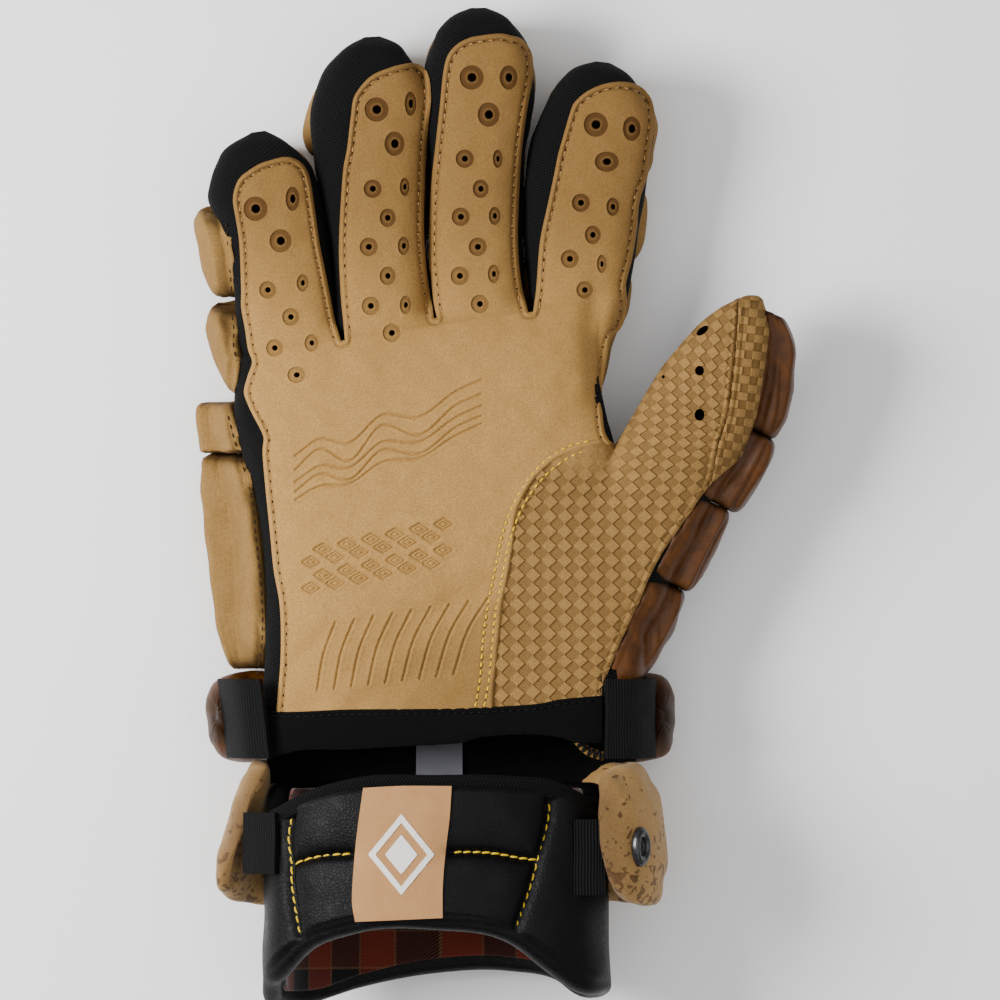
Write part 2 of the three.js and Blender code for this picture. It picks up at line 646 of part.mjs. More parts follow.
function thumbTool(margin) {
  const front = [...THUMB_FRONT_EDGE, ...STRIP_SEAM, ...THUMB_BEYOND].map(thumbPoint);
  const seam = [...THUMB_SEAM].reverse().map(handPoint);
  const outline = [...THUMB_OUTER_EDGE.map(handPoint), ...front, ...seam];
  return prism(grown(outline, margin), palmSplit - margin, SKY);
}

function stripTool(margin) {
  const outline = [...STRIP_SEAM, ...STRIP_OUTER_EDGE].map(thumbPoint);
  return prism(grown(outline, margin), palmSplit - margin, SKY);
}

function palmPanel(margin) {
  return joined([palmTool(margin), ...FINGERS.map((finger) => frontTool(finger, margin))]);
}

const panels = joined([palmPanel(CLEARANCE), thumbTool(CLEARANCE), stripTool(CLEARANCE)]);
const cloth = shell.subtract(panels);

// Plan field of the thumb, and the field of the fingers above the knuckle line
const thumbField = (margin) => prism(grown(THUMB_FIELD.map(handPoint), margin), -SKY, SKY);
function aboveKnuckles(lift) {
  const line = (x) => handY(KNUCKLE_UP) + (x - HAND_X) * HAND_SLANT + lift;
  const outline = [
    [-WIDE, line(-WIDE)],
    [WIDE, line(WIDE)],
    [WIDE, WIDE],
    [-WIDE, WIDE],
  ];
  return prism(outline, -SKY, SKY);
}
const belowSeam = block(-WIDE, WIDE, -WIDE, WRIST_Y, -SKY, SKY);

function fingerMesh(finger) {
  return cloth
    .intersect(fingerField(finger, 0))
    .intersect(aboveKnuckles(CLEARANCE))
    .subtract(thumbField(CLEARANCE));
}

// Roll of padding through sections across a direction, rounded off at its ends
function roll(frame, from, to, extent) {
  const sections = ROLL_ENDS.map(({ at, size }) => {
    const along = THREE.MathUtils.lerp(from, to, at);
    const { left, right, bottom, top } = extent(along);
    const middle = [...frame.point(along, (left + right) / 2), (bottom + top) / 2];
    const [leftPoint, rightPoint] = [frame.point(along, left), frame.point(along, right)];
    const width = Math.hypot(rightPoint[0] - leftPoint[0], rightPoint[1] - leftPoint[1]);
    const halfWidth = (width / 2) * (1 - ROLL_TAPER * (1 - size));
    return section(middle, frame.across, halfWidth, ((top - bottom) / 2) * size, ROLL_POWER, ROLL_SIDES);
  });
  return solidOf(loft(sections));
}

function fingerRoll({ finger, from, to, left, right }) {
  const digit = FINGERS.find(({ name }) => name === finger);
  const frame = frameOf(digit);
  const extent = (along) => {
    const underside = frame.height(along) - digit.depth / 2;
    return {
      left: edgeShare(digit, "left", along) - left,
      right: edgeShare(digit, "right", along) + right,
      bottom: underside - FINGER_PAD - FLATTENED,
      top: underside + PAD_WRAP,
    };
  };
  const field = fingerField(digit, (PAD_SPACING - CLEARANCE) / 2);
  const cushion = roll(frame, from, to, extent).intersect(field).subtract(handSurround);
  return cushion.subtract(backSurround).subtract(underFloor);
}

// One column of padding on the back of the hand, between two rows
function backPad(column, row, margin) {
  const edge = ({ wrist, knuckles }, up) => THREE.MathUtils.lerp(wrist, knuckles, up / KNUCKLE_ROW_UP);
  const sections = ROLL_ENDS.map(({ at, size }) => {
    const up = THREE.MathUtils.lerp(row.from, row.to, at);
    const left = handX(edge(BACK_EDGES[column], up)) + PAD_SPACING / 2 - margin;
    const right = handX(edge(BACK_EDGES[column + 1], up)) - PAD_SPACING / 2 + margin;
    const top = HAND_BASE + BACK_WRAP + margin;
    const middle = [(left + right) / 2, handY(up) + margin * (at * 2 - 1), (top - FLATTENED) / 2];
    const halfWidth = ((right - left) / 2) * (1 - PAD_TAPER * (1 - size));
    return section(middle, [1, 0], halfWidth, ((top + FLATTENED) / 2) * size, HAND_POWER, ROLL_SIDES);
  });
  return solidOf(loft(sections)).subtract(handSurround).subtract(underFloor);
}

// Roll bent round the hand or the cuff: a path of X, Z, middle Y, half length along Y, half thickness
// and lean of X along that length
function bentRoll(path) {
  const sections = path.map((stop, place) => {
    const before = path[Math.max(place - 1, 0)];
    const after = path[Math.min(place + 1, path.length - 1)];
    const reach = Math.hypot(after.x - before.x, after.z - before.z);
    const normal = [(before.z - after.z) / reach, (after.x - before.x) / reach];
    const flat = section([0, 0, 0], [1, 0], stop.halfLength, stop.halfThickness, BENT_POWER, ROLL_SIDES);
    return flat.map(([length, , thickness]) => [
      stop.x + normal[0] * thickness + stop.lean * length,
      stop.y + length,
      stop.z + normal[1] * thickness,
    ]);
  });
  return solidOf(loft(sections));
}

function wristRoll(margin) {
  const path = WRIST_ROLL_ROWS.map(({ side, rise, size }) => ({
    x: handX(side) + Math.sign(side) * margin,
    z: WRIST_ROLL_THICKNESS / 2 - FLATTENED + rise * HAND_DEPTH,
    y: handY(WRIST_ROLL_UP),
    halfLength: (WRIST_ROLL_HEIGHT / 2) * size + margin,
    halfThickness: (WRIST_ROLL_THICKNESS / 2) * size + margin,
    lean: 0,
  }));
  return bentRoll(path);
}

// Cuff: a tube of rounded sections, grown by a margin on every side
function cuffBody(margin) {
  const sections = CUFF_ROWS.map(({ down, wide, deep }) => {
    const halfWidth = (CUFF_WIDTH / 2) * wide + margin;
    const halfDepth = (CUFF_DEPTH / 2) * deep + margin;
    const flat = section([CUFF_X, 0, CUFF_Z], [1, 0], halfWidth, halfDepth, CUFF_POWER);
    return flat.map(([x, , z]) => [x, cuffY(down), z]);
  });
  return solidOf(loft(sections));
}

// Field between the top edges and the rims of the cuff, moved in by a hem; the palm side and the
// back have rims of their own
function cuffField(hem) {
  const x = (side) => CUFF_X + (side * CUFF_WIDTH) / 2;
  const palmTop = CUFF_RIMS.map((row) => [x(row.side), cuffY(row.palmTop) - hem]);
  const palmRim = CUFF_RIMS.map((row) => [x(row.side), cuffY(row.palmRim) + hem]);
  const backTop = CUFF_RIMS.map((row) => [x(row.side), cuffY(0) - hem]);
  const backRim = CUFF_RIMS.map((row) => [x(row.side), cuffY(row.backRim) + hem]);
  const palmSide = prism([...palmRim, ...palmTop.reverse()], CUFF_Z, SKY);
  const backSide = prism([...backRim, ...backTop.reverse()], -SKY, CUFF_Z);
  return palmSide.add(backSide);
}

// Strip along the top edge of the cuff's palm side, from one depth below the edge to another
function edgeStrip(from, to) {
  const x = (side) => CUFF_X + (side * CUFF_WIDTH) / 2;
  const upper = CUFF_RIMS.map((row) => [x(row.side), cuffY(row.palmTop) - from]);
  const lower = CUFF_RIMS.map((row) => [x(row.side), cuffY(row.palmTop) - to]);
  return prism([...lower, ...upper.reverse()], CUFF_Z + CLEARANCE, SKY);
}

const cuffHollow = -CUFF_WALL;
const liningOut = cuffHollow - CLEARANCE;
const edgeFold = TAPE + CLEARANCE; // tape over the edge, with its clearance to the padding
const cuff = cuffBody(0)
  .subtract(cuffBody(cuffHollow))
  .intersect(cuffField(0))
  .subtract(edgeStrip(-SKY, edgeFold));
const lining = cuffBody(liningOut)
  .subtract(cuffBody(liningOut - LINING))
  .intersect(cuffField(CUFF_HEM));
const tape = cuffBody(edgeFold)
  .subtract(cuffBody(cuffHollow))
  .intersect(edgeStrip(0, TAPE_WIDTH))
  .subtract(cuffBody(CLEARANCE).intersect(edgeStrip(TAPE, SKY)));
const patchX = (side) => CUFF_X + (side * CUFF_WIDTH) / 2;
const patchSides = [patchX(PATCH.left), patchX(PATCH.right)];
const patchEnds = [cuffY(PATCH.bottom), cuffY(PATCH.top)];
const patch = cuffBody(edgeFold)
  .subtract(cuffBody(CLEARANCE))
  .intersect(block(...patchSides, ...patchEnds, CUFF_Z, SKY))
  .subtract(edgeStrip(-SKY, TAPE_WIDTH + CLEARANCE));

// Point round the cuff at a turn from straight down, standing off from its surface
function roundCuff(turn, standOff, depth) {
  const angle = THREE.MathUtils.degToRad(turn);
  const power = 2 / CUFF_POWER;
  const reachX = CUFF_WIDTH / 2 + standOff;
  const reachZ = CUFF_DEPTH / 2 + depth;
  return {
    x: CUFF_X + Math.sign(Math.sin(angle)) * Math.abs(Math.sin(angle)) ** power * reachX,
    z: CUFF_Z - Math.sign(Math.cos(angle)) * Math.abs(Math.cos(angle)) ** power * reachZ,
  };
}

function shield(margin) {
  const path = SHIELD_ROWS.map(({ turn, down, long, thick, stand, lean }) => ({
    ...roundCuff(turn, stand, SHIELD_THICKNESS / 2 + CLEARANCE + FLATTENED),
    lean,
    y: cuffY(down),
    halfLength: (SHIELD_HEIGHT / 2) * long + margin,
    halfThickness: (SHIELD_THICKNESS / 2) * thick + margin,
  }));
  return bentRoll(path).subtract(cuffBody(CLEARANCE)).subtract(underFloor);
}

// Flat strap of an even thickness along a line of X and Z, between two places on the Y axis
function strap(line, thickness, low, high) {
  const offset = line.map((stop, place) => {
    const before = line[Math.max(place - 1, 0)];
    const after = line[Math.min(place + 1, line.length - 1)];
    const reach = Math.hypot(after.x - before.x, after.z - before.z);
    const turn = Math.sign(line[line.length - 1].x - line[0].x);
    const out = (turn * thickness) / reach;
    return new THREE.Vector2(stop.x + (before.z - after.z) * out, stop.z + (after.x - before.x) * out);
  });
  const inner = line.map(({ x, z }) => new THREE.Vector2(x, z));
  const shape = new THREE.Shape([...inner, ...offset.reverse()]);
  const geometry = new THREE.ExtrudeGeometry(shape, { depth: high - low, bevelEnabled: false });
  return solidOf(geometry.rotateX(Math.PI / 2).translate(0, high, 0));
}

const wristRollSurround = wristRoll(CLEARANCE);
const shieldSurround = shield(CLEARANCE);

function sideElastic(side) {
  const place = (row) => ({ x: handX(row.side), z: HAND_BASE + row.rise * HAND_DEPTH });
  const line = ELASTIC_ROWS[side].map(place);
  return strap(line, ELASTIC, handY(ELASTIC_UP.from), handY(ELASTIC_UP.to))
    .subtract(handSurround)
    .subtract(wristRollSurround)
    .subtract(shieldSurround);
}

function gusset(side) {
  const { from, to, line } = GUSSETS[side];
  const place = ({ turn, stand }) => roundCuff(turn, SHIELD_STAND_OFF * stand, SHIELD_THICKNESS * stand);
  const stops = line.map(place);
  return strap(stops, ELASTIC, cuffY(to), cuffY(from))
    .subtract(cuffBody(CLEARANCE))
    .subtract(shieldSurround);
}

// Ring that stands proud of the guard's surface
function eyelet() {
  const half = EYELET_DEPTH / 2;
  const profile = [
    [EYELET_HOLE, -half],
    [EYELET_RADIUS, -half],
    [EYELET_RADIUS, half],
    [EYELET_HOLE, half],
  ];
  const outline = [...profile, profile[0]].map(([x, y]) => new THREE.Vector2(x, y));
  const ring = new THREE.LatheGeometry(outline, RING_SIDES);
  const face = roundCuff(EYELET.turn, SHIELD_STAND_OFF, CLEARANCE + SHIELD_THICKNESS / 2);
  const before = roundCuff(EYELET.turn - EYELET.step, SHIELD_STAND_OFF, CLEARANCE + SHIELD_THICKNESS / 2);
  const normal = new THREE.Vector3(face.z - before.z, 0, before.x - face.x).normalize();
  const lift = SHIELD_THICKNESS / 2 + CLEARANCE + half;
  const along = new THREE.Vector3(normal.z, 0, -normal.x);
  const placed = new THREE.Matrix4().makeBasis(along, normal, new THREE.Vector3(0, -1, 0));
  placed.setPosition(face.x + normal.x * lift, cuffY(EYELET.down), face.z + normal.z * lift);
  return solidOf(ring.scale(EYELET_NARROW, 1, 1).applyMatrix4(placed)).subtract(shieldSurround);
}

const palmSideOnly = block(-WIDE, WIDE, -WIDE, WIDE, palmSplit, SKY);
const backSideOnly = block(-WIDE, WIDE, -WIDE, WIDE, -SKY, palmSplit - CLEARANCE);
const bandRight = handX(THUMB_OUTER_EDGE[0].across);
const bandField = block(-WIDE, bandRight, WRIST_Y - BAND_HEIGHT, WRIST_Y - CLEARANCE, -SKY, SKY);
const handBack = cloth
  .subtract(aboveKnuckles(0))
  .subtract(thumbField(CLEARANCE))
  .subtract(belowSeam);
const wristBack = cloth
  .intersect(belowSeam.translate(0, -CLEARANCE, 0))
  .intersect(backSideOnly)
  .subtract(shieldSurround);
const wristBand = shell.intersect(bandField).intersect(palmSideOnly);
const thumbMesh = cloth.intersect(thumbField(0));
const palmLeather = shell.intersect(palmPanel(0));
const thumbLeather = shell.intersect(thumbTool(0)).subtract(palmPanel(CLEARANCE));
const thumbStrip = shell.intersect(stripTool(0)).subtract(thumbTool(CLEARANCE));
const rowOfPads = (row) => BACK_COLUMNS.map((column, place) => ({ row, column, place }));
const backPads = BACK_ROWS.flatMap(rowOfPads);
const backSurround = joined(backPads.map(({ row, place }) => backPad(place, row, CLEARANCE)));

function thumbRoll({ from, to, out }) {
  const extent = (along) => {
    const underside = thumbFrame.height(along) - THUMB.depth / 2;
    const right = edgeShare(THUMB, "right", along) + out;
    return {
      left: THUMB_PAD.left,
      right,
      bottom: underside - THUMB_PAD.under,
      top: underside + THUMB_PAD.wrap,
    };
  };
  return roll(thumbFrame, from, to, extent)
    .subtract(handSurround)
    .subtract(backSurround)
    .subtract(wristRollSurround);
}

// The label lies on the back of the wrist, inside the wrist gap
const labelTop = CUFF_TOP + LABEL.length;
const labelFloor = HAND_BASE + WALL + CLEARANCE;
const labelLeft = handX(LABEL_ACROSS);
const labelRight = labelLeft + LABEL.width;
const labelFace = labelFloor + LABEL.thickness;
const label = block(labelLeft, labelRight, CUFF_TOP, labelTop, labelFloor, labelFace);

const FINISH = {
  tanSuede: { color: 0xbb9966, roughness: 0.9 },
  tanPad: { color: 0xbf9d6b, roughness: 0.85 },
  brownLeather: { color: 0x4c2e10, roughness: 0.45 },
  blackMesh: { color: 0x101010, roughness: 0.95 },
  blackElastic: { color: 0x0c0c0d, roughness: 0.9 },
  blackLeather: { color: 0x17171a, roughness: 0.5 },
  plaid: { color: 0x301410, roughness: 0.95 },
  copperWeave: { color: 0xc29368, roughness: 0.8 },
  greyLabel: { color: 0x55555a, roughness: 0.9 },
  blackMetal: { color: 0x111111, roughness: 0.4, metalness: 0.6 },
};

// Each piece becomes a named mesh; the glove is then centred over the origin
const group = new THREE.Group();
function add(name, solid, finish) {
  const mesh = mainBody(solid).getMesh();
  const geometry = new THREE.BufferGeometry();
  geometry.setAttribute("position", new THREE.BufferAttribute(new Float32Array(mesh.vertProperties), 3));
  geometry.setIndex(new THREE.BufferAttribute(new Uint32Array(mesh.triVerts), 1));
  geometry.computeVertexNormals();
  const material = new THREE.MeshStandardMaterial({ metalness: 0, ...FINISH[finish] });
  const piece = new THREE.Mesh(geometry, material);
  piece.name = name;
  group.add(piece);
}

add("palm_leather", palmLeather, "tanSuede");
add("thumb_leather", thumbLeather, "tanSuede");
add("thumb_side_strip", thumbStrip, "tanSuede");
FINGERS.forEach((finger) => add(`${finger.name}_finger_mesh`, fingerMesh(finger), "blackMesh"));
add("thumb_mesh", thumbMesh, "blackMesh");
add("hand_back_mesh", handBack, "blackMesh");
FINGER_ROLLS.forEach((row) => add(`${row.finger}_${row.row}_roll`, fingerRoll(row), "tanPad"));
backPads.forEach(({ row, column, place }) => {
  add(`${column}_${row.name}`, backPad(place, row, 0), "tanPad");
});
THUMB_ROLLS.forEach((row) => add(row.name, thumbRoll(row), "brownLeather"));
add("wrist_roll", wristRoll(0).subtract(handSurround).subtract(underFloor), "brownLeather");
add("wrist_band", wristBand, "blackLeather");
add("wrist_back", wristBack, "blackMesh");
add("side_elastic_left", sideElastic("left"), "blackElastic");
add("side_elastic_right", sideElastic("right"), "blackElastic");
add("cuff_pad", cuff, "blackLeather");
add("cuff_lining", lining, "plaid");
add("cuff_edge_tape", tape, "blackElastic");
add("cuff_patch", patch, "copperWeave");
add("cuff_shield", shield(0), "tanPad");
add("shield_eyelet", eyelet(), "blackMetal");
add("cuff_gusset_left", gusset("left"), "blackElastic");
add("cuff_gusset_right", gusset("right"), "blackElastic");
add("care_label", label, "greyLabel");

const extent = new THREE.Box3().setFromObject(group);
const middle = extent.getCenter(new THREE.Vector3());
group.position.set(-middle.x, -middle.y, -extent.min.z);

export default group;
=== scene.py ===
import math

import bpy
import numpy as np
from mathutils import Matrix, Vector
from mathutils.geometry import delaunay_2d_cdt
from mathutils.kdtree import KDTree


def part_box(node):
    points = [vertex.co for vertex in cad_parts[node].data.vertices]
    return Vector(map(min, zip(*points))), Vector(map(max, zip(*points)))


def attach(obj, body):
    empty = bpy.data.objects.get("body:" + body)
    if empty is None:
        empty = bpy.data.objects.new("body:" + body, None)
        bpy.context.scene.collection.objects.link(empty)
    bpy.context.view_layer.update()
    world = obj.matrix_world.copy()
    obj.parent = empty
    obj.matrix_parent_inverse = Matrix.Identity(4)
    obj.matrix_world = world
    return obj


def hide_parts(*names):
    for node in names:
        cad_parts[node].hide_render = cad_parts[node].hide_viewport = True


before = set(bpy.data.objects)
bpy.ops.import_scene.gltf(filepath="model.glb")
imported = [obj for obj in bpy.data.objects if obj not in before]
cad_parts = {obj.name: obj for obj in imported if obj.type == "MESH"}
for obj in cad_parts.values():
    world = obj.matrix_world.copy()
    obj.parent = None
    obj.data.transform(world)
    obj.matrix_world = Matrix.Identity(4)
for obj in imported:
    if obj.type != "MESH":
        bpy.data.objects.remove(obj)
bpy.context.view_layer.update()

MM = 0.001
PIXELS = 3  # of the photograph, in a millimetre
SHIFT_X, SHIFT_Y = -1.106, 0.045  # the frame's origin from the middle of the hand's tables

# Sizes of the frame, as in the part's own tables
HAND_X, WRIST_Y = -15 + SHIFT_X, -69.5 + SHIFT_Y
HAND_LENGTH, HAND_WIDTH, HAND_DEPTH = 132, 132, 34
HAND_BASE, FINGER_BASE = 16.8, 12.8
HAND_SLANT = 0.15
FINGER_CURL, THUMB_RISE = 8, 8
PAD_WRAP = 6
CLEARANCE = 0.3
CUFF_X, CUFF_Z, CUFF_TOP = -18.2 + SHIFT_X, 44.3, -94.7 + SHIFT_Y
CUFF_WIDTH, CUFF_DEPTH, CUFF_LENGTH = 116, 64, 70
CUFF_POWER, STALL_POWER, HAND_POWER = 2.3, 2.7, 3.4
PALM_SPLIT = HAND_BASE + HAND_DEPTH / 2
WRIST_ROLL_THICK, WRIST_ROLL_LONG, WRIST_ROLL_DOWN = 16.5, 31, 0.022
SHIELD_THICK, SHIELD_LONG, SHIELD_STAND = 6, 49, 11.5

# Digits: root as shares of the hand, sizes in millimetres, lean in degrees, rise of the tip
DIGITS = {
    "little": dict(across=-0.392, up=0.905, length=73.8, lean=-8.5, width=36, depth=24),
    "ring": dict(across=-0.159, up=0.905, length=104.7, lean=-2, width=38.6, depth=25),
    "middle": dict(across=0.081, up=0.905, length=114.3, lean=0, width=34, depth=25),
    "index": dict(across=0.303, up=0.905, length=97.1, lean=7.3, width=38.6, depth=25),
    "thumb": dict(across=0.389, up=0.248, length=115.7, lean=26, width=38, depth=28),
}
# Stalls: along, left and right of the half width, deep of the half depth
STALLS = {
    "little": [(-.22, -.85, .88, .95), (.05, -.92, .93, 1), (.5, -.88, 1, 1), (.73, -.94, .95, .97),
               (.877, -.68, .7, .8), (.95, -.44, .42, .55), (1, -.12, .12, .16)],
    "ring": [(-.16, -.78, .76, .95), (.05, -.8, .8, 1), (.36, -.86, .81, 1), (.6, -1.06, .85, 1),
             (.8, -1.06, .94, .96), (.93, -.7, .62, .68), (.98, -.36, .36, .4), (1, -.1, .1, .12)],
    "middle": [(-.15, -.88, .88, .95), (.05, -.92, .92, 1), (.5, -.94, .86, 1), (.83, -1.04, 1.06, .95),
               (.89, -.92, .96, .84), (.945, -.72, .72, .65), (.985, -.38, .4, .36), (1, -.12, .12, .12)],
    "index": [(-.15, -.62, .68, .95), (.03, -.64, .72, 1), (.18, -.76, .92, 1), (.45, -1.04, .98, 1),
              (.7, -1.04, 1.02, .98), (.84, -.86, .96, .88), (.92, -.66, .7, .7), (.98, -.34, .34, .4),
              (1, -.1, .1, .12)],
    "thumb": [(-.16, -.95, .8, .95), (.05, -1.05, .92, 1), (.3, -1.06, .92, 1), (.45, -1.03, .96, 1),
              (.6, -.96, 1.02, 1), (.72, -.88, .98, .97), (.87, -.64, .7, .82), (.955, -.38, .44, .52),
              (1, -.1, .12, .14)],
}
# Hand shell: up, left and right of the width, bottom and top of the depth, share of the knuckle slant
HAND_ROWS = [(-.2, -.447, .47, 0, .9, 0), (0, -.46, .492, 0, .94, 0), (.25, -.455, .5, 0, 1, 0),
             (.5, -.473, .475, 0, 1, 0), (.68, -.518, .415, 0, .98, .3), (.8, -.535, .388, 0, .9, .6),
             (.9, -.53, .386, -.05, .77, .9), (.97, -.515, .4, -.08, .66, 1)]


def spline(xs, ys, t):
    """Smooth curve through (xs, ys), read at t; it stays level beyond its ends."""
    xs, ys, t = np.asarray(xs, float), np.asarray(ys, float), np.clip(t, xs[0], xs[-1])
    slope = np.gradient(ys, xs)
    i = np.clip(np.searchsorted(xs, t) - 1, 0, len(xs) - 2)
    h = xs[i + 1] - xs[i]
    u = (t - xs[i]) / h
    return (ys[i] * (2 * u**3 - 3 * u**2 + 1) + slope[i] * h * (u**3 - 2 * u**2 + u)
            + ys[i + 1] * (3 * u**2 - 2 * u**3) + slope[i + 1] * h * (u**3 - u**2))


def column(rows, place):
    return [row[place] for row in rows]


def step(low, high, value):
    """Smooth step from 0 at low to 1 at high."""
    t = np.clip((np.asarray(value, float) - low) / (high - low), 0, 1)
    return t * t * (3 - 2 * t)


def at(px, py):
    """A place of the photograph's frame on the plan of the glove."""
    return (px - 491) / PIXELS + SHIFT_X, (500 - py) / PIXELS + SHIFT_Y


def curve(points, pitch=0.8, closed=False):
    """Smooth line through places of the photograph, as plan points at an even pitch."""
    return even(smooth_line(np.array([at(*p) for p in points]), closed), pitch, closed)


def smooth_line(points, closed=False, fine=12):
    """Centripetal Catmull-Rom curve through points of any dimension."""
    p = np.asarray(points, float)
    if closed:
        p = np.vstack([p[-1], p, p[0], p[1]])
    else:
        p = np.vstack([2 * p[0] - p[1], p, 2 * p[-1] - p[-2]])
    out = []
    for a, b, c, d in zip(p[:-3], p[1:-2], p[2:-1], p[3:]):
        t1 = max(np.linalg.norm(b - a), 1e-6) ** 0.5
        t2 = t1 + max(np.linalg.norm(c - b), 1e-6) ** 0.5
        t3 = t2 + max(np.linalg.norm(d - c), 1e-6) ** 0.5
        t = np.linspace(t1, t2, fine, endpoint=False)[:, None]
        ab = (t1 - t) / t1 * a + t / t1 * b
        bc = (t2 - t) / (t2 - t1) * b + (t - t1) / (t2 - t1) * c
        cd = (t3 - t) / (t3 - t2) * c + (t - t2) / (t3 - t2) * d
        abc = (t2 - t) / t2 * ab + t / t2 * bc
        bcd = (t3 - t) / (t3 - t1) * bc + (t - t1) / (t3 - t1) * cd
        out.append((t2 - t) / (t2 - t1) * abc + (t - t1) / (t2 - t1) * bcd)
    if not closed:
        out.append(p[-2][None])
    return np.vstack(out)


def even(line, pitch, closed=False):
    """The same line with its points at an even pitch."""
    if closed:
        line = np.vstack([line, line[0]])
    reach = np.r_[0, np.cumsum(np.linalg.norm(np.diff(line, axis=0), axis=1))]
    count = max(int(round(reach[-1] / pitch)), 2)
    stops = np.linspace(0, reach[-1], count + 1)
    points = np.stack([np.interp(stops, reach, line[:, k]) for k in range(line.shape[1])], axis=1)
    return points[:-1] if closed else points


def offset(line, distance):
    """Plan line moved to its left by a distance."""
    way = np.gradient(line, axis=0)
    way /= np.maximum(np.linalg.norm(way, axis=1), 1e-9)[:, None]
    return line + np.stack([-way[:, 1], way[:, 0]], axis=1) * distance


def tree_of(points):
    """Search tree over points; plan points lie at height 0."""
    tree = KDTree(len(points))
    for i, p in enumerate(points):
        tree.insert((*p, 0)[:3], i)
    tree.balance()
    return tree


def nearest(points, line, closed=False, pitch=0.2):
    """Distance of plan points to a line, the side (+ left), and how far along the line."""
    fine = even(np.asarray(line, float), pitch, closed)
    tree = tree_of(fine)
    found = [tree.find((x, y, 0))[1:] for x, y in points]
    index = np.array([f[0] for f in found])
    distance = np.array([f[1] for f in found])
    way = np.gradient(fine, axis=0)
    away = points - fine[index]
    side = np.sign(way[index, 0] * away[:, 1] - way[index, 1] * away[:, 0])
    return distance, side, index * pitch


def inside(points, outline):
    """Which plan points lie inside an outline."""
    x, y = points[:, 0], points[:, 1]
    hit = np.zeros(len(points), bool)
    ax, ay = outline[:, 0], outline[:, 1]
    bx, by = np.roll(ax, -1), np.roll(ay, -1)
    for x0, y0, x1, y1 in zip(ax, ay, bx, by):
        if y0 == y1:
            continue
        cross = (y0 > y) != (y1 > y)
        hit ^= cross & (x < (x1 - x0) * (y - y0) / (y1 - y0) + x0)
    return hit


class Digit:
    """Frame of a finger or the thumb, with the surface of its stall."""

    def __init__(self, name):
        size = DIGITS[name]
        self.length, self.width, self.depth = size["length"], size["width"], size["depth"]
        lean = math.radians(size["lean"])
        self.way = np.array([math.sin(lean), math.cos(lean)])
        self.across = np.array([math.cos(lean), -math.sin(lean)])
        self.root = np.array([HAND_X + size["across"] * HAND_WIDTH, WRIST_Y + size["up"] * HAND_LENGTH])
        thumb = name == "thumb"
        self.base = HAND_BASE + HAND_DEPTH / 2 if thumb else FINGER_BASE + self.depth / 2
        self.rise = THUMB_RISE if thumb else FINGER_CURL
        self.rows = STALLS[name]

    def height(self, along):
        return self.base + self.rise * np.maximum(along, 0) ** 2

    def local(self, x, y):
        dx, dy = x - self.root[0], y - self.root[1]
        return (dx * self.way[0] + dy * self.way[1]) / self.length, dx * self.across[0] + dy * self.across[1]

    def edges(self, along):
        stops = column(self.rows, 0)
        half = self.width / 2
        return (spline(stops, column(self.rows, 1), along) * half,
                spline(stops, column(self.rows, 2), along) * half,
                spline(stops, column(self.rows, 3), along) * self.depth / 2)

    def top(self, x, y, least=0.2):
        along, side = self.local(x, y)
        left, right, deep = self.edges(along)
        t = np.abs(side - (left + right) / 2) / ((right - left) / 2)
        core = np.maximum(1 - t**STALL_POWER, 0) ** (1 / STALL_POWER)
        low = np.where(t < 1.3, np.maximum(core, least), least - (t - 1.3) * 3)
        beyond = np.maximum(along - 1, 0) * self.length + np.maximum(self.rows[0][0] - along, 0) * self.length
        return self.height(along) + deep * low - beyond * 1.5

    def point(self, along, side):
        """Plan place at a share of the length and millimetres across."""
        return self.root + self.way * along * self.length + self.across * side


DIGIT = {name: Digit(name) for name in DIGITS}
FINGERS = ["little", "ring", "middle", "index"]


def hand_up(x, y):
    """Share of the hand's length at plan places, with the slant of the knuckles taken out."""
    up = (y - WRIST_Y) / HAND_LENGTH
    for _ in range(4):
        slant = spline(column(HAND_ROWS, 0), column(HAND_ROWS, 5), up)
        up = (y - WRIST_Y - (x - HAND_X) * HAND_SLANT * slant) / HAND_LENGTH
    return up


def hand_top(x, y, least=0.12):
    """Height of the hand shell's palm side, falling away beyond its sides and its upper end."""
    up = hand_up(x, y)
    stops = column(HAND_ROWS, 0)
    left, right, bottom, top = (spline(stops, column(HAND_ROWS, k), up) for k in (1, 2, 3, 4))
    t = np.abs(x - HAND_X - (left + right) / 2 * HAND_WIDTH) / ((right - left) / 2 * HAND_WIDTH)
    core = np.maximum(1 - t**HAND_POWER, 0) ** (1 / HAND_POWER)
    low = np.where(t < 1.06, np.maximum(core, least), least - (t - 1.06) * 12)
    beyond = np.maximum(up - stops[-1], 0) * HAND_LENGTH
    middle, half = HAND_BASE + (bottom + top) / 2 * HAND_DEPTH, (top - bottom) / 2 * HAND_DEPTH
    return middle + half * low - beyond * 1.2


def palm_side(x, y, blend=1.6):
    """Height of the palm side of hand, fingers and thumb, with soft valleys between them."""
    x, y = np.asarray(x, float), np.asarray(y, float)
    parts = np.stack([hand_top(x, y)] + [d.top(x, y) for d in DIGIT.values()])
    highest = parts.max(axis=0)
    return highest + blend * np.log(np.exp((parts - highest) / blend).sum(axis=0))


# Materials
def rgb(r, g, b):
    """Linear colour of an 8-bit screen colour."""
    linear = [(c / 255 / 12.92) if c <= 10 else ((c / 255 + 0.055) / 1.055) ** 2.4 for c in (r, g, b)]
    return (*linear, 1)


